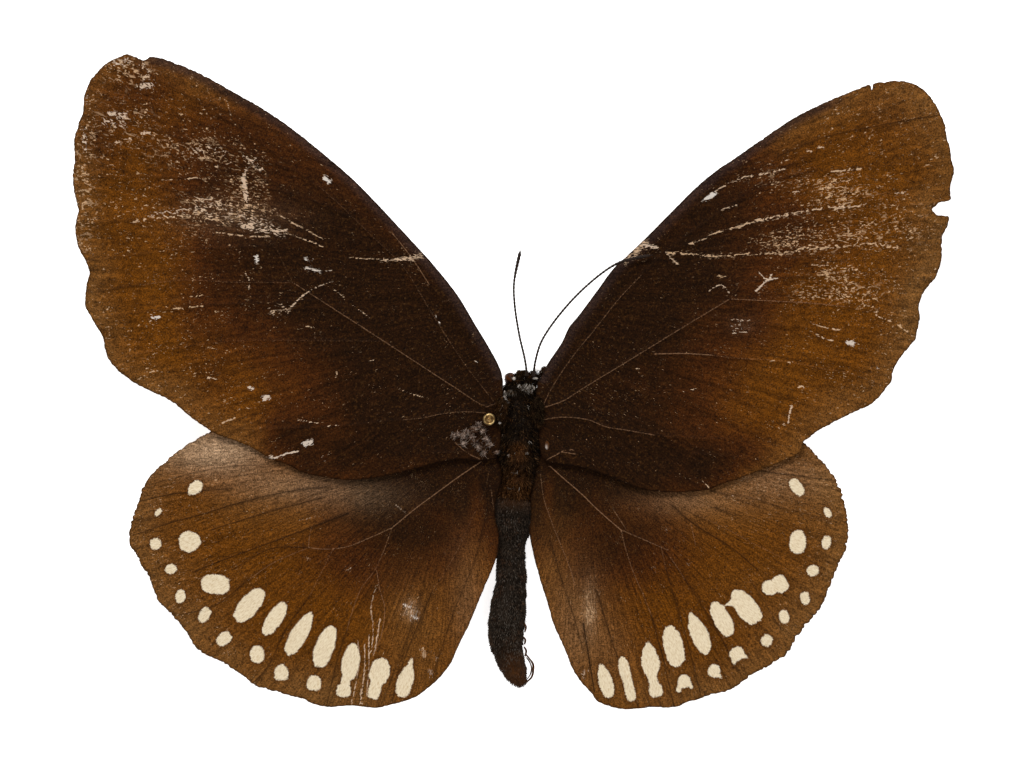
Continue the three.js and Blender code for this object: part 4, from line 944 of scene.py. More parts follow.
def line_field(points, veins, width):
    """The veins' paleness and darkness, the height of their ridges, and how far the nearest vein is."""
    pale, dark, ridge = np.zeros((3, len(points)))
    nearest = np.full(len(points), np.inf)
    for worn, shade, line in veins:
        far, place = distance_to(points, smooth_path(line, 0.8))
        thick = width * (1.25 - 0.5 * place)
        pale = np.maximum(pale, worn * np.clip(1.15 - far / thick, 0, 1))
        dark = np.maximum(dark, shade * np.clip(1.15 - far / (1.7 * thick), 0, 1))
        ridge = np.maximum(ridge, np.exp(-((far / (1.1 * thick)) ** 2)))
        nearest = np.minimum(nearest, far)
    return pale, dark, ridge, nearest


def stroke_field(points, strokes):
    """The brightness of the scratches at each point, and the tint of the brightest."""
    bright, tint = np.zeros((2, len(points)))
    for half_width, strength, colour, line in strokes:
        far, _ = distance_to(points, smooth_path(line, 0.5))
        here = strength * np.clip(1.4 - far / half_width, 0, 1)
        tint = np.where(here > bright, colour, tint)
        bright = np.maximum(bright, here)
    return bright, tint


# %% [markdown]
# The wing finish is a recipe of pigments. Real wings are tiled with scales a tenth of a millimetre across,
# so every colour is broken up by a fine grain, and the bright flecks are single scales that catch the light.
# Wear lets more flecks through, and the bare veins show as pale lines.

# %% Wing pigments and finish
DARK = srgb(34, 17, 5)
UMBER = srgb(66, 33, 8)
GOLD = srgb(96, 54, 8)
TAN = srgb(112, 75, 36)
# SHEEN is partly the pale grey-pink colour of the hindwing's front band and of rubbed places, and partly a
# painted sheen
SHEEN = srgb(168, 138, 108)
PALE = srgb(210, 172, 132)
VEIN = srgb(150, 112, 82)
WHITE = srgb(226, 216, 206)
CREAM = srgb(238, 222, 192)
CREAM_SHADE = srgb(212, 188, 150)
BLACK = srgb(16, 9, 5)
VIOLET = srgb(52, 38, 34)


def wing_finish(name):
    """The recipe, from the ground colour up."""
    f = Finish(name)
    fine = f.noise(0.12, 2.0, 0.65)
    medium = f.fan_noise(0.35, 0.8, 3.0, 0.6, shift=7.0)
    broad = f.noise(2.6, 3.0, 0.55, shift=3.0)
    streak = f.fan_noise(0.55, 9.0, 3.0, 0.6, shift=1.0)
    scales = f.fan_noise(0.13, 0.34, 2.0, 0.6, shift=13.0, curl=0.6)
    threads = f.threads(0.42, 0.95, shift=21.0, thick=0.085)
    clump = f.noise(1.2, 2.0, 0.6, shift=9.0)

    # the ground: dark, then reddish brown, then gold; greyer tan towards the edge
    tone = f.add(f.mask("tone"), f.around_zero(broad, 0.4))
    colour = f.mix(f.step(tone, 0.0, 0.55), DARK, UMBER)
    colour = f.mix(f.step(tone, 0.4, 1.0), colour, GOLD)
    tan = f.times(f.mask("tan"), f.around_one(broad, 1.4), clamp=True)
    colour = f.mix(tan, colour, TAN)
    # painted sheen: the sheen mask lays a pale grey-pink, partly the hindwing front band's own colour and
    # partly painted sheen
    colour = f.mix(f.times(f.mask("sheen"), f.around_one(medium, 1.2), clamp=True), colour, SHEEN)
    colour = f.mix(f.mask("costa"), colour, VIOLET)
    for noise, swing in ((fine, 3.6), (medium, 2.0), (streak, 1.7)):
        colour = f.shade(colour, f.around_one(noise, swing))

    # darker near the body, and a fine mottle of tan and black all over
    colour = f.mix(f.times(f.mask("root"), 0.22), colour, BLACK)
    mottle = f.noise(0.24, 3.0, 0.7, shift=17.0)
    colour = f.mix(f.times(f.step(mottle, 0.54, 0.7), 0.24), colour, TAN)
    colour = f.mix(f.times(f.step(mottle, 0.46, 0.3), 0.5), colour, BLACK)

    # single bright scales, gathered in patches
    patchy = f.around_zero(clump, 0.32)
    worn = f.times(f.mask("wear"), f.add(0.09, f.times(threads, 0.15)))
    shown = f.add(f.add(scales, patchy), worn)
    colour = f.mix(f.times(f.step(shown, 0.7, 0.8), f.step(fine, 0.25, 0.6)), colour, PALE)

    # fine curled scars, where scales were rubbed off in short lines
    scars = f.threads(0.42, 1.4, shift=33.0, thick=0.042)
    breaks = f.step(f.noise(0.55, 2.0, 0.6, shift=29.0), 0.5, 0.58)
    scars = f.times(f.times(scars, breaks), f.step(f.mask("wear"), 0.36, 0.75))
    colour = f.mix(f.times(scars, 0.75), colour, PALE)

    # veins: dark ones are shaded, worn ones are bare
    colour = f.mix(f.times(f.mask("dark_line"), f.around_one(medium, 0.6), clamp=True), colour, BLACK)
    worn = f.add(f.mask("pale_line"), f.around_zero(fine, 1.4))
    colour = f.mix(f.times(f.step(worn, 0.25, 1.1), 0.8), colour, VEIN)

    # scratches and rubbed places
    bare = f.add(f.mask("scratch"), f.around_zero(scales, 1.3))
    bare = f.add(bare, f.times(threads, 0.3))
    shown = f.times(f.step(bare, 0.56, 0.74), f.step(f.mask("scratch"), 0.02, 0.2))
    colour = f.mix(f.times(shown, 0.85), colour, f.mix(f.mask("scratch_tint"), PALE, WHITE))

    # cream spots, grained, with a slightly ragged edge
    spot = f.add(f.mask("spot"), f.around_zero(fine, 0.34))
    inside = f.step(spot, -0.05, 0.06)
    cream = f.mix(f.step(scales, 0.3, 0.6), CREAM_SHADE, CREAM)
    colour = f.mix(f.times(f.step(f.mask("spot"), -0.4, 0.0), 0.4), colour, UMBER)
    colour = f.mix(inside, colour, cream)

    # a dark rim, a paler underside, and scales that stand up a little outside the spots
    colour = f.mix(f.times(f.mask("edge"), f.around_one(medium, 1.2), clamp=True), colour, BLACK)
    colour = f.mix(f.mask("under"), colour, f.mix(0.35, colour, TAN))
    rough = f.minus(1.0, f.times(inside, 0.85))
    f.bump(f.times(rough, f.add(fine, f.times(medium, 0.8))), 0.03, 0.5)
    return f.finish(colour, f.add(0.5, f.times(fine, 0.25)), specular=0.03)


# %% [markdown]
# Here the parts come together. A wing's top takes its height from the sheet, plus a ridge on each vein
# and a shallow fold between veins; its rim is thinned, and the fringe is a little uneven.

# %% Build the four wings
SHEET_HALF = 0.06
RIM_HALF = 0.025
VEIN_RIDGE = 0.075
FOLD_DEPTH = 0.07
FOLD_WIDTH = 1.3
COCKLE = 0.035
FAN_RADIUS = 40.0
WING_LIFT = {"forewing": FOREWING_LIFT, "hindwing": 0.0}
WING_FINISH = {kind: wing_finish(kind + "_scales") for kind in WING_LIFT}
VEIN_WIDTH = {"forewing": 0.07, "hindwing": 0.06}
FRINGE = {"forewing_left": 0.05, "forewing_right": 0.05, "hindwing_left": 0.1, "hindwing_right": 0.13}
# where the tone changes: distances from the core's line
CORE_EDGE = {
    "forewing_left": (-8.0, 6.5), "forewing_right": (-7.0, 8.5),
    "hindwing_left": (-2.0, 9.5), "hindwing_right": (-2.0, 9.5),
}
# the point from which the veins fan out
FAN_MIDDLE = {
    "forewing_left": (12.6, 9.0), "forewing_right": (-11.4, 9.0),
    "hindwing_left": (-5.0, -6.0), "hindwing_right": (6.2, -6.0),
}
# the share of the outline that has a dark front edge
COSTA_END = {"forewing_left": 0.38, "forewing_right": 0.33, "hindwing_left": 0.0, "hindwing_right": 0.0}


def wing_masks(name, points, rim_far, rim_place):
    """The broad tones, and where each point is along and across the fan of veins."""
    patches = {kind: blobs(points, rows) for kind, rows in PATCHES[name].items()}
    from_middle = points - np.array(FAN_MIDDLE[name])
    loop = smooth_path(CORES[name], 1.0, closed=True)
    core_far, _ = distance_to(points, loop, closed=True)
    core_far = np.where(is_inside(points, loop), -core_far, core_far)
    out = np.abs(points[:, 0] - BODY_X)
    from_root = np.hypot(points[:, 0] - BODY_X, points[:, 1] + 4.0)
    margin = (1 - soft_step(rim_far, 0.0, 3.6)) * soft_step(out, 8, 20)
    tone = soft_step(core_far, *CORE_EDGE[name]) + patches["tone"]
    front = 1 - soft_step(rim_place, COSTA_END[name] - 0.03, COSTA_END[name])
    return {
        "tone": np.clip(tone, 0, 1.3),
        "tan": np.clip(0.55 * margin * soft_step(tone, 0.3, 1.0) + patches["tan"], 0, 1),
        "sheen": np.clip(patches["sheen"], 0, 1),
        "wear": np.clip(soft_step(out, 14, 34) * 0.34 + patches["wear"], 0, 1),
        "fan": np.arctan2(from_middle[:, 1], np.abs(from_middle[:, 0])) * FAN_RADIUS,
        "reach": np.hypot(*from_middle.T),
        "root": soft_step(13 - from_root, 0.0, 11.0),
        "costa": 0.75 * (1 - soft_step(rim_far, 0.25, 1.1)) * front,
        "edge": (1 - soft_step(rim_far, 0.0, 0.14)) * 0.55,
    }


def make_wing(name):
    """Lays one wing's sheet, works out its masks and heights, and adds it."""
    kind = name.split("_")[0]
    rim = ragged_rim(OUTLINES[name], FRINGE[name])
    points, is_low, faces = wing_sheet(name, rim)
    pale, dark, ridge, nearest = line_field(points, VEINS[name], VEIN_WIDTH[kind])
    bright, tint = stroke_field(points, STROKES[name])
    rim_far, rim_place = distance_to(points, rim, closed=True)
    masks = wing_masks(name, points, rim_far, rim_place)
    masks |= {"spot": spot_field(points, SPOTS[name]), "pale_line": pale, "dark_line": dark}
    masks |= {"scratch": bright, "scratch_tint": tint, "under": is_low.astype(float)}

    x, y = points.T
    fold = FOLD_DEPTH * (1 - np.exp(-((nearest / FOLD_WIDTH) ** 2)))
    cockle = COCKLE * np.sin(1.7 * x + 0.9 * y) * np.sin(0.8 * y - 1.3 * x)
    half = RIM_HALF + (SHEET_HALF - RIM_HALF) * soft_step(rim_far, 0, 0.3)
    middle = sheet_height(x, y) + WING_LIFT[kind] - fold + cockle
    z = middle + np.where(is_low, -half, half + VEIN_RIDGE * ridge * soft_step(rim_far, 0.0, 0.4))
    make_object(name, np.column_stack([points, z]), faces, kind, name, masks, WING_FINISH[kind])


for name in OUTLINES:
    make_wing(name)

# %% [markdown]
# The body is built of tubes: rings of points carried along a smooth line, closed at both ends.
# A ring may be wider than it is high, and gentle lumps keep a dry body from looking turned on a lathe.

# %% Tubes, lumps and joined parts
POLE = 0.998  # how near to its ends an ellipsoid's first and last rings lie


def tube(path, radii, sides):
    """A closed tube's vertices and triangles; radii has a number a point, or half width and half height."""
    path = np.asarray(path, float)
    radii = np.asarray(radii, float)
    radii = np.column_stack([radii, radii]) if radii.ndim == 1 else radii
    tangent = np.gradient(path, axis=0)
    tangent /= np.linalg.norm(tangent, axis=1)[:, None]
    side = np.array([1.0, 0.0, 0.0])
    angle = np.linspace(0, 2 * np.pi, sides, endpoint=False)
    rings = []
    for point, along, (wide, high) in zip(path, tangent, radii):
        side = side - along * (side @ along)
        side /= np.linalg.norm(side)
        up = np.cross(along, side)
        rings.append(point + np.outer(np.cos(angle) * wide, side) + np.outer(np.sin(angle) * high, up))
    vertices = np.vstack(rings + [path[:1], path[-1:]])
    count = len(path)
    i, j = np.meshgrid(np.arange(count - 1), np.arange(sides), indexing="ij")
    a, b = (i * sides + j).ravel(), (i * sides + (j + 1) % sides).ravel()
    c, d = b + sides, a + sides
    ring = np.arange(sides)
    following = (ring + 1) % sides
    last = (count - 1) * sides
    start, end = np.full(sides, count * sides), np.full(sides, count * sides + 1)
    faces = np.vstack(
        [
            np.column_stack([a, b, c]),
            np.column_stack([a, c, d]),
            np.column_stack([start, following, ring]),
            np.column_stack([end, last + ring, last + following]),
        ]
    )
    return vertices, faces


def join(parts):
    """Several closed parts as the vertices and faces of one mesh."""
    vertices, faces, so_far = [], [], 0
    for part_vertices, part_faces in parts:
        vertices.append(part_vertices)
        faces.append(part_faces + so_far)
        so_far += len(part_vertices)
    return np.vstack(vertices), np.vstack(faces)


def lumps(points, size, seed=0.0):
    """A smooth uneven field from -1 to 1, with lumps about size millimetres wide."""
    x, y, z = points[:, 0] / size + seed, points[:, 1] / size - seed, points[:, 2] / size + 2 * seed
    return (
        np.sin(2.1 * x + 1.3 * y) * np.cos(1.7 * z - 0.6 * x)
        + np.sin(1.1 * y - 2.3 * z + 1.0) * np.cos(1.9 * x + 0.4 * y)
        + np.sin(2.9 * x - 2.2 * y + 1.6 * z)
    ) / 3


def ellipsoid(centre, half, rows, sides):
    """A closed egg shape from its centre and its three half sizes."""
    height = np.linspace(-1, 1, rows) * POLE
    path = np.column_stack([0 * height, 0 * height, height])
    vertices, faces = tube(path, np.sqrt(1 - height**2), sides)
    return vertices * np.array(half) + np.array(centre), faces


def half_round(path):
    """0 at both ends of a path, 1 in its middle, and round between."""
    return np.sin(np.pi * np.linspace(0, 1, len(path)))


# %% [markdown]
# Fur is made of real hairs: closed three-sided cones, bent once, each rooted in the skin.
# Their roots are spread evenly over the body, and each hair has two tints, pale and brown, for the material.

# %% Fur
HAIR_POINTS = 7
HAIR_FACES = [
    (0, 1, 4), (0, 4, 3), (1, 2, 5), (1, 5, 4), (2, 0, 3),
    (2, 3, 5), (3, 4, 6), (4, 5, 6), (5, 3, 6), (0, 2, 1),
]
ROOT_DEPTH = 0.04
LOWEST_HAIR = 0.05


def surface_points(vertices, faces, count):
    """Even random places on a mesh, with the direction that points out of it."""
    a, b, c = vertices[faces[:, 0]], vertices[faces[:, 1]], vertices[faces[:, 2]]
    normal = np.cross(b - a, c - a)
    area = np.linalg.norm(normal, axis=1)
    pick = rng.choice(len(faces), count, p=area / area.sum())
    u, v = rng.random(count), rng.random(count)
    flip = u + v > 1
    u[flip], v[flip] = 1 - u[flip], 1 - v[flip]
    places = a[pick] + u[:, None] * (b - a)[pick] + v[:, None] * (c - a)[pick]
    return places, normal[pick] / (area[pick][:, None] + 1e-12)


def hairs(roots, directions, lengths, width, droop):
    """Vertices and faces of bent cones; droop is added to each hair's tip, as a share of its length."""
    count = len(roots)
    directions = directions / np.linalg.norm(directions, axis=1)[:, None]
    other = np.cross(directions, np.array([0.3, 0.5, 0.8]))
    other /= np.linalg.norm(other, axis=1)[:, None]
    third = np.cross(directions, other)
    ring = [other * math.cos(k * 2 * math.pi / 3) + third * math.sin(k * 2 * math.pi / 3) for k in range(3)]
    base = roots - directions * ROOT_DEPTH
    middle = roots + directions * lengths[:, None] * 0.55 + droop * lengths[:, None] * 0.25
    tip = roots + directions * lengths[:, None] + droop * lengths[:, None]
    rows = [base + r * width / 2 for r in ring] + [middle + r * width * 0.36 for r in ring] + [tip]
    vertices = np.stack(rows, axis=1).reshape(-1, 3)
    faces = np.array(HAIR_FACES)[None] + HAIR_POINTS * np.arange(count)[:, None, None]
    return vertices, faces.reshape(-1, 3)


def each_hair(values):
    """One value a hair, repeated for all the hair's points."""
    return np.repeat(values, HAIR_POINTS)


def tint_of(points, patches):
    """The share, from 0 to 1, that the patches give each point."""
    return np.clip(blobs(points, patches), 0, 1)


def grow_fur(name, skin, count, length, width, lean, pale=(), brown=(), wild=0.5, keep=None, finish=None,
             pale_range=(0.25, 1.0), dim=None):
    """Fur on a skin: lean bends every hair one way, wild scatters them, keep says where hair grows."""
    roots, out = surface_points(*skin, count)
    if keep is not None:
        chosen = keep(roots)
        roots, out = roots[chosen], out[chosen]
    lengths = length * rng.uniform(0.55, 1.25, len(roots))
    droop = rng.normal(0, 0.15, (len(roots), 3)) + np.array([0.0, -0.12, 0.0])
    directions = out + np.array(lean) + rng.normal(0, wild, out.shape) * 0.5
    inward = (directions * out).sum(1) < 0.15
    directions[inward] += out[inward] * 0.6
    vertices, faces = hairs(roots, directions, lengths, width, droop)
    vertices[:, 2] = np.maximum(vertices[:, 2], LOWEST_HAIR)
    is_pale = rng.random(len(roots)) < tint_of(roots, pale)
    masks = {
        "pale": each_hair(np.where(is_pale, rng.uniform(*pale_range, len(roots)), 0.0)),
        "brown": each_hair(tint_of(roots, brown)),
        "chance": each_hair(rng.random(len(roots)) * (1.0 if dim is None else dim(roots))),
    }
    return make_object(name, vertices, faces, "body_fur", None, masks, finish or fur_finish)


def hair_finish(name, dark, brown, pale, contrast):
    """Hair that differs from one to the next, dark to brown, with a few bright strays and pale tufts."""
    f = Finish(name)
    grain = f.noise(0.3, 3.0, 0.7)
    blotch = f.noise(0.8, 2.0, 0.6, shift=4.0)
    rusty = f.add(f.mask("brown"), f.times(f.step(blotch, 0.5, 0.7), 0.35), clamp=True)
    colour = f.mix(rusty, dark, brown)
    tone = f.times(f.mask("chance"), f.mask("chance"))
    colour = f.shade(colour, f.add(1 - 0.6 * contrast, f.times(tone, 1.8 * contrast)))
    colour = f.shade(colour, f.around_one(grain, 3.4 * contrast))
    flyaway = f.times(f.step(grain, 0.56, 0.68), f.step(f.mask("chance"), 0.7, 0.95))
    colour = f.mix(f.times(flyaway, 0.8 * contrast), colour, srgb(134, 104, 72))
    colour = f.mix(f.mask("pale"), colour, f.mix(f.mask("pale"), pale, WHITE))
    return f.finish(colour, 0.65, specular=0.0)


def skin_finish():
    """Dry skin under the fur: dark, with a brown tint where the mask says, fine pits and dust."""
    f = Finish("body_skin")
    pits = f.noise(0.18, 3.0, 0.6)
    dust = f.noise(0.9, 3.0, 0.6, shift=5.0)
    colour = f.mix(f.mask("brown"), srgb(20, 14, 9), srgb(78, 46, 20))
    colour = f.shade(colour, f.add(0.45, f.times(pits, 1.1)))
    colour = f.mix(f.times(f.step(dust, 0.5, 0.75), 0.22), colour, srgb(84, 70, 58))
    colour = f.mix(f.mask("pale"), colour, WHITE)
    f.bump(pits, 0.04, 0.7)
    return f.finish(colour, f.add(0.5, f.times(pits, 0.3)), specular=0.03)


fur_finish = hair_finish("body_hair", srgb(38, 28, 18), srgb(92, 58, 30), srgb(152, 138, 120), 1.5)
body_finish = skin_finish()


def add_skin(name, shape, node=None, brown=0.0, pale=0.0, slot="body_fur"):
    """A mesh in the skin's finish; its brown and pale tints are one number, or one for each vertex."""
    none = np.zeros(len(shape[0]))
    make_object(name, *shape, slot, node, {"brown": none + brown, "pale": none + pale}, body_finish)


# %% [markdown]
# The thorax is a furry barrel: a broad shield in front, a groove, then a small brown shield behind it.
# Its skin stays a hair's length inside the solid, so that the fur's tips end where the solid does.

# %% Thorax
THORAX_HEIGHT = 2.55
THORAX_DEPTH = 1.27
FUR_DEPTH = 0.16
# half width, y
THORAX_PROFILE = [
    (0.95, -10.05), (1.3, -9.6), (1.6, -9.1), (1.55, -8.55), (1.85, -7.9), (2, -7.2), (1.98, -6.7),
    (2.15, -5.7), (2.1, -4.3), (1.8, -2.8), (1.3, -1.7), (0.75, -1.1),
]
# x, y, radius along x, radius along y, strength
THORAX_BROWN = [
    (0.55, -6.6, 0.75, 0.9, 0.6), (0.4, -5.9, 0.6, 0.3, 0.5), (0.2, -8.6, 1.2, 0.9, 0.5),
    (0.3, -10.2, 1.6, 0.9, 0.9),
]
THORAX_PALE = [
    (-0.62, -1.3, 0.14, 0.36, 1), (-0.33, -1.87, 0.08, 0.14, 0.8), (-0.5, -2.56, 0.13, 0.08, 0.6),
    (1.35, -2.35, 0.07, 0.2, 0.6), (1.5, -2.6, 0.08, 0.05, 0.6), (1.77, -1.23, 0.07, 0.14, 0.6),
    (1.4, -5.45, 0.16, 0.09, 0.8), (0.1, -8, 0.4, 0.05, 0.3), (0.05, -9.6, 0.5, 0.05, 0.25),
    (-0.15, -6.2, 0.1, 0.1, 0.4),
]

stations = smooth_path(THORAX_PROFILE, 0.12)
thorax_line = np.column_stack(
    [np.full(len(stations), BODY_X), stations[:, 1], np.full(len(stations), THORAX_HEIGHT)]
)
thorax_radii = np.column_stack([stations[:, 0], THORAX_DEPTH * stations[:, 0]]) - FUR_DEPTH


def dent(value, depth, width):
    """A smooth dent across the line where value is 0; a depth below 0 goes inwards."""
    return depth * np.exp(-((value / width) ** 2))


def shape_thorax(vertices):
    """Presses the groove, the shields and the middle line into the top, and makes it uneven."""
    x, y, z = vertices.T
    top = soft_step(z, 3.2, 4.6)
    groove_shade = dent(y + 5.75 + 0.25 * (x - BODY_X) ** 2, -0.16, 0.22)
    shield = 0.12 * np.exp(-(((x - 0.55) / 0.8) ** 2) - ((y + 6.9) / 0.85) ** 2)
    rear = dent(y + 8.55, -0.12, 0.25) + dent(y + 9.5, -0.08, 0.2)
    middle = dent(x - BODY_X, -0.07, 0.14) * (y > -5.6)
    shaped = vertices.copy()
    shaped[:, 2] += top * (groove_shade + shield + rear + middle) + 0.05 * lumps(vertices, 0.7) * top
    shaped[:, 0] += 0.04 * lumps(vertices, 0.8, 2.0)
    shaped[:, 2] = np.maximum(shaped[:, 2], 0.0)
    return shaped


thorax_points, thorax_faces = tube(thorax_line, thorax_radii, 56)
thorax_points = shape_thorax(thorax_points)
thorax_skin = (thorax_points, thorax_faces)
add_skin("thorax", thorax_skin, "thorax", tint_of(thorax_points, THORAX_BROWN))
grow_fur("thorax_fur", thorax_skin, count=9000, length=0.4, width=0.055, lean=(0.0, -0.75, 0.1),
         pale=THORAX_PALE, brown=THORAX_BROWN, wild=0.8, keep=lambda p: p[:, 2] > 0.4)

# A ruff of reddish hair hides the joint between the thorax and the abdomen.
WAIST_BROWN = [(0.4, -10.2, 3.0, 1.6, 0.55)]
waist_line = smooth_path([(0.45, -8.7, 2.45), (0.15, -9.8, 2.3), (0.1, -11.2, 2.15)], 0.1)
waist = tube(waist_line, (1.3 + 0.24 * half_round(waist_line))[:, None] * np.array([1.0, 0.95]), 44)
add_skin("waist", waist, brown=tint_of(waist[0], WAIST_BROWN))
grow_fur("waist_fur", waist, count=3800, length=0.32, width=0.055, lean=(0.0, -0.7, 0.1),
         brown=WAIST_BROWN, wild=0.7, keep=lambda p: p[:, 2] > 1.4)

# %% [markdown]
# The abdomen is soft and has dried unevenly: it bulges left, sags to the floor and turns right at the tip.
# Each ring is a plate that overlaps the next one, so the radius rises slowly and drops at each joint.

# %% Abdomen
# half width, y, x
ABDOMEN_STATIONS = [
    (0.45, -27.7, 0.85), (0.78, -27.3, 0.65), (1.2, -26.4, 0.25), (1.35, -25.2, -0.25),
    (1.58, -23.9, -0.58), (1.75, -22.6, -0.6), (1.72, -21.4, -0.48), (1.67, -20, -0.38),
    (1.52, -19.2, -0.28), (1.45, -18, -0.15), (1.4, -16.5, -0.2), (1.38, -15, -0.22), (1.64, -13.5, -0.05),
    (1.9, -12, 0), (1.8, -10.9, 0.05), (1.3, -10.2, 0.15),
]
# the y of each joint, with the two ends
ABDOMEN_PLATES = [-28.0, -25.9, -24.4, -22.4, -19.45, -18.2, -16.1, -14.0, -12.1, -10.3]
ABDOMEN_FRONT_HEIGHT = 2.2
ABDOMEN_REAR_HEIGHT = 1.58
ABDOMEN_DEPTH = 0.95
PLATE_STEP = 0.1
SCALE_DEPTH = 0.08
ABDOMEN_BROWN = [(0.3, -27, 1.8, 2, 0.75), (0.3, -10.8, 1.8, 0.8, 0.35)]
ABDOMEN_DUST = [
    (-0.6, -21.5, 1.2, 3.5, 0.45), (0.1, -24.5, 1.2, 1.5, 0.4), (-0.1, -13.2, 0.9, 1.2, 0.35),
    (0.2, -17, 1, 3, 0.15),
]

radius, along_y, middle_x = smooth_path(ABDOMEN_STATIONS, 0.1).T
rise = np.clip((along_y + 22) / 11.6, 0, 1)
height = ABDOMEN_REAR_HEIGHT + (ABDOMEN_FRONT_HEIGHT - ABDOMEN_REAR_HEIGHT) * rise
plates = np.array(ABDOMEN_PLATES)
plate = np.clip(np.searchsorted(plates, along_y) - 1, 0, len(plates) - 2)
within = (along_y - plates[plate]) / (plates[plate + 1] - plates[plate])
radius = radius - SCALE_DEPTH - PLATE_STEP * within**2 * (along_y > -26.5)
abdomen_line = np.column_stack([middle_x, along_y, height])
abdomen_skin = tube(abdomen_line, np.column_stack([radius, radius * ABDOMEN_DEPTH]), 60)
points = abdomen_skin[0]
# the right side near the tip is ragged, the whole skin is uneven, and the belly lies flat on the floor
ragged = soft_step(-points[:, 1], 20.8, 22.0) * soft_step(points[:, 0], 0.6, 1.3) * (points[:, 1] > -27.2)
points[:, 0] -= ragged * (0.12 + 0.12 * lumps(points, 0.16, 4.0))
points += (0.045 * lumps(points, 0.6, 1.0))[:, None] * np.array([0.7, 0.0, 1.0])
points[:, 2] = np.maximum(points[:, 2], 0.0)
add_skin("abdomen", abdomen_skin, "abdomen", tint_of(points, ABDOMEN_BROWN))
abdomen_finish = hair_finish("abdomen_scale", srgb(58, 49, 41), srgb(84, 54, 34), srgb(98, 90, 78), 0.45)


def in_folds(points):
    """1 on the plates and nearly 0 in the folds between them, where the scales are dark."""
    folds = [dent(points[:, 1] - joint, 1.0, 0.13) for joint in ABDOMEN_PLATES[1:-1]]
    return 1 - 0.9 * np.clip(np.sum(folds, axis=0), 0, 1)


grow_fur("abdomen_scales", abdomen_skin, count=13000, length=0.2, width=0.06, lean=(0.0, -1.6, 0.0),
         pale=ABDOMEN_DUST, brown=ABDOMEN_BROWN, wild=0.6, keep=lambda p: p[:, 2] > 0.3,
         finish=abdomen_finish, pale_range=(0.0, 0.35), dim=in_folds)

# %% [markdown]
# Near the tip the skin has torn: a few dry strands stand off the right side and leave a small gap.

# %% Torn strands at the tip of the abdomen
# half width, points
TORN_STRANDS = [
    (0.11, [
        (1.1, -24.8, 1.9), (1.4, -25.2, 1.9), (1.82, -25.8, 1.8), (1.84, -26.4, 1.7), (1.7, -27, 1.6),
        (1.2, -27.5, 1.5),
    ]),
    (0.07, [
        (1.2, -25.2, 1.6), (1.5, -25.6, 1.5), (1.68, -26.1, 1.45), (1.6, -26.7, 1.4), (1.3, -27.2, 1.4),
    ]),
    (0.1, [(0.95, -23.3, 2), (1.12, -23.6, 2), (1.05, -24, 1.9)]),
    (0.1, [(1, -22, 2.1), (1.17, -22.4, 2), (1.07, -22.9, 2)]),
    (0.1, [(1, -24.2, 1.8), (1.2, -24.6, 1.8), (1.1, -25.1, 1.8)]),
]
strands = []
for thick, line in TORN_STRANDS:
    path = smooth_path(line, 0.06)
    strands.append(tube(path, thick * (0.6 + 0.4 * half_round(path)), 7))
strands = join(strands)
# a painted highlight: a cream patch on the strands inside the gap
painted_highlight_inside = 0.35 * tint_of(strands[0], [(1.55, -25.9, 0.12, 0.5, 1.0)])
add_skin("abdomen_strands", strands, brown=0.7, pale=painted_highlight_inside)

# %% [markdown]
# The head is small and black, with white dots behind the feelers, a grey nape and a pair of brown eyes.
# The dots are tufts of white scales, so they are hairs too, thick and lying flat.

# %% Head
HEAD_AT = (0.75, 0.02, 3.0)
HEAD_HALF = (1.05, 0.8, 0.85)
HEAD_FUR_DEPTH = 0.1
HEAD_PALE = [
    (0.09, 0.25, 0.13, 0.11, 1.6), (2, 0.25, 0.24, 0.09, 1.6), (0.55, -0.44, 0.16, 0.16, 1.4),
    (1.45, -0.62, 0.42, 0.26, 0.75), (0, -1, 0.42, 0.2, 0.45), (1.05, 0.35, 0.05, 0.2, 0.3),
]
NECK_PALE = [(1.45, -0.85, 0.4, 0.25, 0.3)]
# name, x, y, half width, half length, height, hairs, hair length, hair width, tint, lean, thinning
HEAD_TUFTS = [
    ("dot_left", 0.1, 0.27, 0.11, 0.1, 3.82, 130, 0.1, 0.05, 1.0),
    ("dot_right", 2.03, 0.28, 0.22, 0.07, 3.84, 130, 0.1, 0.05, 1.0, (0.3, 0.1, 0.6)),
    ("dot_middle", 0.55, -0.42, 0.12, 0.12, 3.9, 130, 0.12, 0.05, 1.0, (0.0, -0.6, 0.5), 0.15),
    ("nape_grey", 1.2, -0.6, 0.8, 0.38, 3.86, 330, 0.22, 0.04, 0.85, (0.0, -1.0, 0.3), 0.85),
    ("nape_mauve", -0.1, -1.0, 0.5, 0.26, 3.9, 150, 0.22, 0.04, 0.4, (0.2, -1.0, 0.3), 0.35),
    ("collar_white", -0.74, -1.22, 0.09, 0.4, 3.98, 200, 0.24, 0.045, 1.0, (0.1, -1.0, 0.3), 0.3),
]
FRONT_TUFTS = [
    ("speck_left", -1.2, -3.76, 0.09, 0.09, 5.06, 60, 0.1, 0.05, 1.0),
    ("brow_right", 1.78, 0.36, 0.6, 0.56, 3.64, 900, 0.2, 0.045, 0.0, (0.1, 0.2, 0.4)),
    ("brow_middle", 1.05, 0.6, 0.4, 0.3, 3.5, 260, 0.3, 0.035, 0.0, (0.0, 0.8, 0.5)),
    ("cheek_fuzz", 2.15, 0.75, 0.3, 0.26, 3.4, 46, 0.5, 0.018, 0.9, (0.1, 0.8, 0.4), 0.3),
]
# x, y, half width, half length, hairs, tint
TAN_SPECKS = [
    (-0.25, -6.75, 0.22, 0.16, 40, 0.75), (0.2, -6.45, 0.12, 0.08, 16, 0.7),
    (1.25, -6.5, 0.2, 0.1, 20, 0.7), (0.3, -8.3, 0.5, 0.07, 22, 0.45), (0, -9.7, 0.5, 0.06, 26, 0.5),
    (-0.9, -4.9, 0.12, 0.1, 12, 0.35), (0.9, -3.4, 0.1, 0.14, 12, 0.3), (-1.2, -6.4, 0.16, 0.12, 14, 0.4),
]

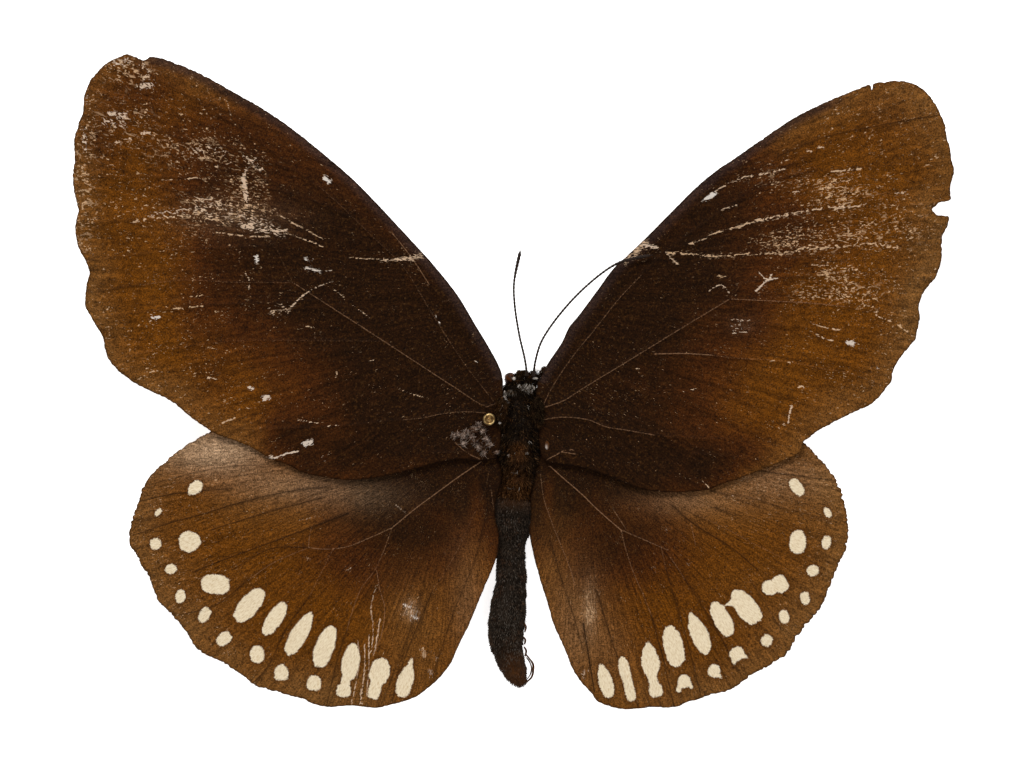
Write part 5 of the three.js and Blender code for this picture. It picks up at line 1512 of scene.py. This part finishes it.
vertices, faces = ellipsoid(HEAD_AT, [h - HEAD_FUR_DEPTH for h in HEAD_HALF], 28, 40)
vertices += (0.05 * lumps(vertices, 0.4, 3.0))[:, None] * np.array([0.6, 0.6, 1.0])
head_skin = (vertices, faces)
add_skin("head", head_skin, "head", pale=0.7 * tint_of(vertices, HEAD_PALE) ** 2)
grow_fur("head_fur", head_skin, count=3800, length=0.26, width=0.032, lean=(0.0, 0.15, 0.1),
         pale=HEAD_PALE, wild=0.7)


def tuft(name, x, y, half_x, half_y, height, count, length, width, tint, lean=(0.0, -0.6, 0.5), thin=0.0,
         brown=0.0):
    """A small cushion of hairs at a chosen place; tint is from 0, black, to 1, white."""
    spread = rng.uniform(-1, 1, (count * 2, 2))
    spread = spread[np.hypot(*spread.T) < 1][:count]
    count = len(spread)
    roots = np.column_stack([x + spread[:, 0] * half_x, y + spread[:, 1] * half_y, np.full(count, height)])
    roots[:, 2] -= 0.12 * (spread**2).sum(1)
    way = np.array(lean) + rng.normal(0, 0.35, (count, 3))
    droop = rng.normal(0, 0.12, (count, 3))
    vertices, faces = hairs(roots, way, length * rng.uniform(0.7, 1.2, count), width, droop)
    clumps = np.clip(0.6 + 1.3 * lumps(roots, 0.13, x), 0, 1) if thin else 1.0
    pale = np.clip(np.full(count, tint) * clumps - thin * 0.3 * rng.random(count), 0, 1)
    masks = {
        "pale": each_hair(pale),
        "brown": each_hair(np.full(count, brown)),
        "chance": each_hair(rng.random(count)),
    }
    make_object(name, vertices, faces, "body_fur", None, masks, fur_finish)


for row in HEAD_TUFTS:
    tuft(*row)
for number, (x, y, half_x, half_y, count, tint) in enumerate(TAN_SPECKS, 1):
    radius = np.interp(y, [row[1] for row in THORAX_PROFILE], [row[0] for row in THORAX_PROFILE])
    height = THORAX_HEIGHT + THORAX_DEPTH * math.sqrt(max(radius**2 - (x - BODY_X) ** 2, 0.0)) - 0.12
    tuft(f"tan_speck_{number}", x, y, half_x, half_y, height, count, 0.14, 0.055, tint, brown=1.0)
for row in FRONT_TUFTS:
    tuft(*row)
neck_line = smooth_path([(0.7, -0.4, 2.95), (0.65, -1.0, 2.9), (0.6, -1.6, 2.8)], 0.08)
collar = np.linspace(0, 1, len(neck_line))
neck = tube(neck_line, np.column_stack([1.42 + 0.2 * collar, 0.85 + 0.22 * collar]), 40)
add_skin("neck", neck)
grow_fur("neck_fur", neck, count=3200, length=0.34, width=0.035, lean=(0.0, -0.5, 0.2),
         pale=NECK_PALE, wild=0.6)

# %% [markdown]
# An insect's eye is a dome of hundreds of facets. The facets are a fine cell pattern in the bump,
# under a thin glossy coat, over a brown that varies in soft bands.

# %% Eyes
EYE_RADIUS = 0.52
FACET_MM = 0.045


def eye_finish():
    f = Finish("eye_dome")
    cells = f.tree.nodes.new("ShaderNodeTexVoronoi")
    cells.inputs["Scale"].default_value = 1 / (FACET_MM * MM)
    f.tree.links.new(f.place, cells.inputs["Vector"])
    band = f.noise(0.5, 2.0, 0.5)
    colour = f.mix(f.step(band, 0.35, 0.65), srgb(24, 11, 5), srgb(74, 38, 14))
    colour = f.shade(colour, f.add(0.7, f.times(cells.outputs["Distance"], 0.5)))
    f.bump(cells.outputs["Distance"], 0.012, 0.6)
    f.shader.inputs["Coat Weight"].default_value = 0.04
    f.shader.inputs["Coat Roughness"].default_value = 0.12
    return f.finish(colour, f.add(0.3, f.times(band, 0.2)), specular=0.06)


facets = eye_finish()
for node, x in (("eye_left", -0.25), ("eye_right", 1.75)):
    dome = ellipsoid((x, 0.3, 3.05), (EYE_RADIUS * 0.96, EYE_RADIUS, EYE_RADIUS), 36, 48)
    make_object(node, *dome, "eye", node, None, facets)

# %% [markdown]
# The feelers are chains of about forty short rings that swell to a slim club.
# A ripple in the radius gives each ring its waist; the last part tapers to a blunt tip.

# %% Feelers
RING_LENGTH = 0.34
ANTENNA_LEFT = [
    (1.28, 0.55, 3.95), (1.1, 1.9, 4.3), (0.55, 4.33, 4.7), (0.14, 7.1, 4.9), (0.1, 9, 4.9),
    (0.68, 11.96, 4.75),
]
ANTENNA_RIGHT = [
    (1.85, 0.5, 3.95), (2.05, 1.9, 4.35), (2.67, 3.8, 4.85), (5.1, 7.1, 5.4), (8, 9.78, 5.55),
    (9.8, 10.85, 5.57), (12.7, 11.5, 5.55),
]


def horn_finish():
    f = Finish("dark_horn")
    grain = f.noise(0.12, 2.0, 0.6)
    colour = f.mix(f.step(grain, 0.3, 0.8), srgb(20, 13, 8), srgb(50, 32, 20))
    f.bump(grain, 0.02, 0.5)
    return f.finish(colour, f.add(0.45, f.times(grain, 0.25)), specular=0.15)


dark_horn = horn_finish()


def feeler(name, line):
    """A chain of rings along a line, thick at its foot and in its club."""
    path = smooth_path(line, RING_LENGTH / 6)
    share = np.linspace(0, 1, len(path))
    base = 0.07 * (1 - soft_step(share, 0, 0.04)) + 0.095
    club = 0.055 * soft_step(share, 0.72, 0.92)
    tip = 1 - 0.85 * soft_step(share, 0.965, 1.0)
    rings = 1 + 0.13 * np.cos(2 * np.pi * np.arange(len(path)) / 6)
    make_object(name, *tube(path, (base + club) * tip * rings, 14), "horn", name, None, dark_horn)


feeler("antenna_left", ANTENNA_LEFT)
feeler("antenna_right", ANTENNA_RIGHT)

# %% [markdown]
# Under the head are the palps, two small hairy brushes, and the coiled tongue between them.

# %% Palps and tongue
TONGUE_TURNS = 2.25
TONGUE_MIDDLE = (BODY_X + 0.15, 0.5, 1.45)

for node, x in (("palp_left", 0.5), ("palp_right", 1.0)):
    path = smooth_path([(x, 0.72, 2.0), (x + 0.02, 0.86, 2.35), (x + 0.05, 0.89, 2.75)], 0.05)
    share = np.linspace(0, 1, len(path))
    palp = tube(path, 0.05 + 0.08 * np.sin(np.pi * np.clip(share * 0.9 + 0.1, 0, 1)), 16)
    add_skin(node, palp, node, brown=0.4)
    grow_fur(node + "_fur", palp, count=260, length=0.14, width=0.022, lean=(0.0, 0.5, 0.4),
             brown=[(x, 0.9, 1, 1, 0.5)])
share = np.linspace(0, 1, 180)
angle = math.pi / 2 - share * TONGUE_TURNS * 2 * math.pi
coil = 0.52 - 0.36 * share
tongue_x, tongue_y, tongue_z = TONGUE_MIDDLE
tongue_path = np.column_stack(
    [np.full(len(share), tongue_x), tongue_y + coil * np.cos(angle), tongue_z + coil * np.sin(angle)]
)
ripple = 1 + 0.09 * np.cos(np.pi * np.arange(len(share)) / 1.5)
tongue = tube(tongue_path, (0.062 - 0.02 * share) * ripple, 12)
make_object("proboscis", *tongue, "horn", "proboscis", None, dark_horn)

# %% [markdown]
# Each leg is a thigh, a shin and a foot of five short joints with two claws. The wings hide them in the
# photograph, so they follow the solids: the knees stand up, and the feet lie on the floor and carry it all.

# %% Legs
# hip, knee, ankle, toe and claw of the left leg
LEGS = {
    "leg_middle": [
        (-1.75, -3.2, 0.85), (-3.6, -1, 2.5), (-4.6, 1.8, 0.55), (-5, 3.3, 0.13), (-5.1, 4.4, 0.13),
    ],
    "leg_hind": [
        (-1.75, -6.8, 0.85), (-4.6, -9.2, 2.3), (-5.2, -12.4, 0.55), (-5.5, -14.2, 0.13),
        (-5.6, -15.6, 0.13),
    ],
}
# half widths along each joint
THIGH_WIDTHS = [0.3, 0.27, 0.22, 0.2, 0.15]
SHIN_WIDTHS = [0.16, 0.14, 0.13, 0.14, 0.1]
HEEL_WIDTHS = [0.11, 0.12, 0.1]
BEAD_WIDTHS = [0.075, 0.088, 0.1, 0.07]
CLAW_WIDTHS = [0.045, 0.035, 0.01]
SPINE_WIDTH = 0.035
SPINE_TILT = 0.9


def limb(line, widths, sides=14):
    """One joint of a leg: widths are its half widths along it, evenly spaced."""
    path = smooth_path(line, 0.07)
    share = np.linspace(0, 1, len(path))
    return tube(path, np.interp(share, np.linspace(0, 1, len(widths)), widths), sides)


def spines(path, count, length):
    """A row of short bristles on both sides of a limb."""
    path = smooth_path(path, 0.05)
    pick = np.linspace(2, len(path) - 3, count).astype(int)
    along = np.gradient(path, axis=0)[pick]
    along /= np.linalg.norm(along, axis=1)[:, None]
    side = np.cross(along, (0.0, 0.0, 1.0)) * np.where(np.arange(count) % 2 == 0, 1, -1)[:, None]
    way = side + along * SPINE_TILT
    return hairs(path[pick], way, np.full(count, length), SPINE_WIDTH, np.zeros((count, 3)))


def foot(start, end):
    """Five beads from the ankle to the claws."""
    parts = []
    for k in range(5):
        a = start + (end - start) * k / 5
        b = start + (end - start) * (k + 0.92) / 5
        parts.append(limb([a, (a + b) / 2, b], BEAD_WIDTHS, 10))
    along = (end - start) / np.linalg.norm(end - start)
    across = np.cross(along, (0.0, 0.0, 1.0))
    for turn in (-1, 1):
        tip = end + along * 0.3 + across * turn * 0.16 + np.array([0, 0, -0.04])
        parts.append(limb([end, end + along * 0.2 + across * turn * 0.12, tip], CLAW_WIDTHS, 7))
    return parts


def dress_leg(node, points, mirror):
    """One leg from hip to claws, or its mirror image on the right side."""
    points = np.array(points, float)
    if mirror:
        points[:, 0] = 2 * BODY_X - points[:, 0]
    hip, knee, ankle, toe, claw = points
    thigh = [hip, (hip + knee) / 2, knee]
    shin = [knee, (knee + ankle) / 2, ankle]
    heel = [ankle, (ankle + toe) / 2, toe]
    parts = [
        limb([hip, thigh[1] + (0, 0, 0.06), knee], THIGH_WIDTHS),
        limb(shin, SHIN_WIDTHS),
        limb(heel, HEEL_WIDTHS, 12),
        spines(shin, 16, 0.3),
        spines(heel, 8, 0.18),
    ]
    vertices, faces = join(parts + foot(toe, claw))
    vertices[:, 2] = np.maximum(vertices[:, 2], 0.0)
    add_skin(node, (vertices, faces), node, brown=0.25, slot="horn")
    furred = limb(thigh, [0.3, 0.25, 0.2, 0.15])
    grow_fur(node + "_fur", furred, count=420, length=0.2, width=0.026, lean=(0.0, 0.0, -0.2))


for name, points in LEGS.items():
    dress_leg(name + "_left", points, mirror=False)
    dress_leg(name + "_right", points, mirror=True)

# %% [markdown]
# The front legs are short brushes folded against the breast. The right one's knee stands beside the head,
# where the photograph shows a dark hump with a whitish side.

# %% Front legs
# half widths along the leg, pale patches of its fur, points
FORELEGS = {
    "foreleg_left": (
        [0.18, 0.15, 0.15, 0.09], [],
        [(-0.2, -0.95, 0.9), (-0.5, 0.0, 1.5), (-0.5, 0.5, 2.05), (-0.3, 0.1, 1.0)],
    ),
    "foreleg_right": (
        [0.18, 0.18, 0.3, 0.18, 0.09], [(2.55, 0.9, 0.16, 0.45, 0.9)],
        [(1.55, -0.95, 0.9), (2.4, 0.25, 2.1), (2.85, 1.1, 3.15), (2.75, 0.9, 2.2), (2.5, 0.3, 1.3)],
    ),
}
for name, (widths, pale, points) in FORELEGS.items():
    foreleg = limb(points, widths, 20)
    add_skin(name, foreleg, name, brown=0.2)
    grow_fur(name + "_fur", foreleg, count=900, length=0.17, width=0.026, lean=(0.0, 0.3, 0.2),
             pale=pale, wild=0.6)

# %% [markdown]
# At each wing root a small flap of stiff hair, the tegula, covers the hinge.

# %% Wing root flaps
TEGULA_HALF = (0.6, 1.45, 0.22)
TEGULA_FUR_DEPTH = 0.06
TEGULA_OUT = 1.62
TEGULA_LEAN = 0.28

for node, side in (("tegula_left", -1), ("tegula_right", 1)):
    vertices, faces = ellipsoid((0, 0, 0), [h - TEGULA_FUR_DEPTH for h in TEGULA_HALF], 20, 36)
    x, y, z = vertices.T
    cos, sin = math.cos(side * TEGULA_LEAN), math.sin(side * TEGULA_LEAN)
    vertices = np.column_stack([x * cos + z * sin, y, -x * sin + z * cos])
    vertices += np.array([BODY_X + side * TEGULA_OUT, -2.75, 4.86])
    vertices += (0.03 * lumps(vertices, 0.4, side * 1.0))[:, None] * np.array([1.0, 1.0, 0.5])
    add_skin(node, (vertices, faces), node, brown=0.15)
    grow_fur(node + "_fur", (vertices, faces), count=1500, length=0.34, width=0.035,
             lean=(side * 0.35, -1.1, 0.0),
             pale=[(-0.95, -2.3, 0.15, 0.4, 0.06)], brown=[(-1.2, -2.2, 0.4, 0.5, 0.5)])

# %% [markdown]
# The pin is brass. Seen from above, its head is a rim, a turned ring darkened with painted shade in its
# groove, and a bright dome in the middle.
# A lathe makes it: one profile from the point to the crown, turned round the axis.

# %% Pin
PIN_AT = (-2.17, -3.43)
# radius, height
PIN_PROFILE = [
    (0.03, 0.35), (0.06, 0.5), (0.22, 1.15), (0.22, 4.78), (0.34, 4.8), (0.46, 4.92), (0.53, 5.05),
    (0.57, 5.25), (0.55, 5.45), (0.5, 5.56), (0.44, 5.6), (0.38, 5.57), (0.33, 5.5), (0.28, 5.5),
    (0.22, 5.6), (0.14, 5.69), (0.05, 5.72),
]
GROOVE_RADIUS = 0.33
GROOVE_WIDTH = 0.07


def brass_finish():
    f = Finish("pin_brass")
    drawn = f.noise(0.12, 3.0, 0.6, (1.0, 1.0, 0.3))
    stain = f.noise(0.35, 3.0, 0.6, shift=2.0)
    colour = f.mix(f.step(stain, 0.4, 0.68), srgb(222, 190, 130), srgb(120, 84, 44))
    # painted shade: the turned ring in the head's groove is darkened to a dark brown
    colour = f.mix(f.times(f.mask("groove_shade"), 0.85), colour, srgb(70, 44, 18))
    f.bump(drawn, 0.01, 0.6)
    return f.finish(colour, f.add(0.2, f.times(drawn, 0.3)), metallic=0.9)


def lathe(profile, centre, sides):
    """A closed round shape: the profile's radii and heights turned round an upright line."""
    count = len(profile)
    angle = np.linspace(0, 2 * np.pi, sides, endpoint=False)
    shape, faces = tube([(0, 0, k) for k in range(count)], np.ones(count), sides)
    for k, (radius, height) in enumerate(profile):
        ring = shape[k * sides : (k + 1) * sides]
        ring[:, 0] = centre[0] + radius * np.cos(angle)
        ring[:, 1] = centre[1] + radius * np.sin(angle)
        ring[:, 2] = height
    shape[-2] = (*centre, profile[0][1])
    shape[-1] = (*centre, profile[-1][1])
    return shape, faces


pin_shape, pin_faces = lathe(smooth_path(PIN_PROFILE, 0.05), PIN_AT, 48)
from_axis = np.hypot(pin_shape[:, 0] - PIN_AT[0], pin_shape[:, 1] - PIN_AT[1])
# where the painted shade of the groove lies: a ring round the axis, on the head only
groove_shade = dent(from_axis - GROOVE_RADIUS, 1.0, GROOVE_WIDTH) * (pin_shape[:, 2] > 5.4)
make_object("pin", pin_shape, pin_faces, "pin_brass", "pin", {"groove_shade": groove_shade}, brass_finish())

# %% [markdown]
# Beside the pin, the left wing root has frayed: clumps of lilac-grey fluff and dust lie on it.
# Each clump is a nest of short curled fibres. Right of the thorax a tan-brown plate of the wing's hinge is
# bare, with a painted highlight at its lower left.

# %% Frayed wing roots
# x, y, size
FLUFF_CLUMPS = [
    (-5.4, -4.95, 0.24), (-5, -4.8, 0.24), (-4.55, -4.95, 0.26), (-4.2, -4.6, 0.26), (-3.6, -4.35, 0.24),
    (-3.1, -4, 0.26), (-2.75, -4.5, 0.2), (-3.5, -5.5, 0.28), (-3.1, -6, 0.28), (-2.5, -5.2, 0.26),
    (-2.15, -5.7, 0.26), (-4.5, -5.7, 0.2), (-2.6, -6.5, 0.22), (-3.8, -5.1, 0.2), (-1.5, -6.4, 0.1),
]
FLUFF_PER_MM = 560
HINGE_PLATE_AT = (3.1, -5.8)


def fluff_finish():
    f = Finish("grey_fluff")
    speck = f.noise(0.3, 3.0, 0.7)
    colour = f.mix(f.step(speck, 0.38, 0.62), srgb(62, 46, 40), srgb(206, 184, 168))
    colour = f.mix(f.times(f.mask("brown"), 0.8), colour, srgb(96, 60, 30))
    colour = f.shade(colour, f.add(0.4, f.times(f.mask("chance"), 0.9)))
    return f.finish(colour, 0.7, specular=0.05)


parts, brown, chance = [], [], []
for x, y, size in FLUFF_CLUMPS:
    count = int(FLUFF_PER_MM * size)
    spread = rng.normal(0, size * 0.36, (count, 2))
    roots = np.column_stack([x + spread[:, 0], y + spread[:, 1], np.zeros(count)])
    roots[:, 2] = sheet_height(roots[:, 0], roots[:, 1]) + FOREWING_LIFT + 0.05 + rng.random(count) * 0.22
    way = rng.normal(0, 1, (count, 3)) * np.array([1.0, 1.0, 0.35])
    droop = rng.normal(0, 0.7, (count, 3)) * np.array([1.0, 1.0, 0.15])
    parts.append(hairs(roots, way, rng.uniform(0.12, 0.3, count), 0.07, droop))
    brown.append(each_hair((rng.random(count) < 0.4).astype(float)))
    chance.append(each_hair(rng.random(count)))
masks = {"brown": np.concatenate(brown), "chance": np.concatenate(chance)}
make_object("wing_root_fluff", *join(parts), "body_fur", None, masks, fluff_finish())
hinge_height = float(sheet_height(*np.array(HINGE_PLATE_AT)[:, None])[0]) + FOREWING_LIFT + 0.06
plate = ellipsoid((*HINGE_PLATE_AT, hinge_height), (0.2, 0.4, 0.12), 16, 24)
# the pale patch at the plate's lower left is a painted highlight
add_skin("hinge_plate", plate, brown=1.0, pale=0.6 * tint_of(plate[0], [(3.02, -6.0, 0.12, 0.2, 1.0)]))
print("nodes left to dress:", sorted(n for n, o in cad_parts.items() if not o.hide_render))
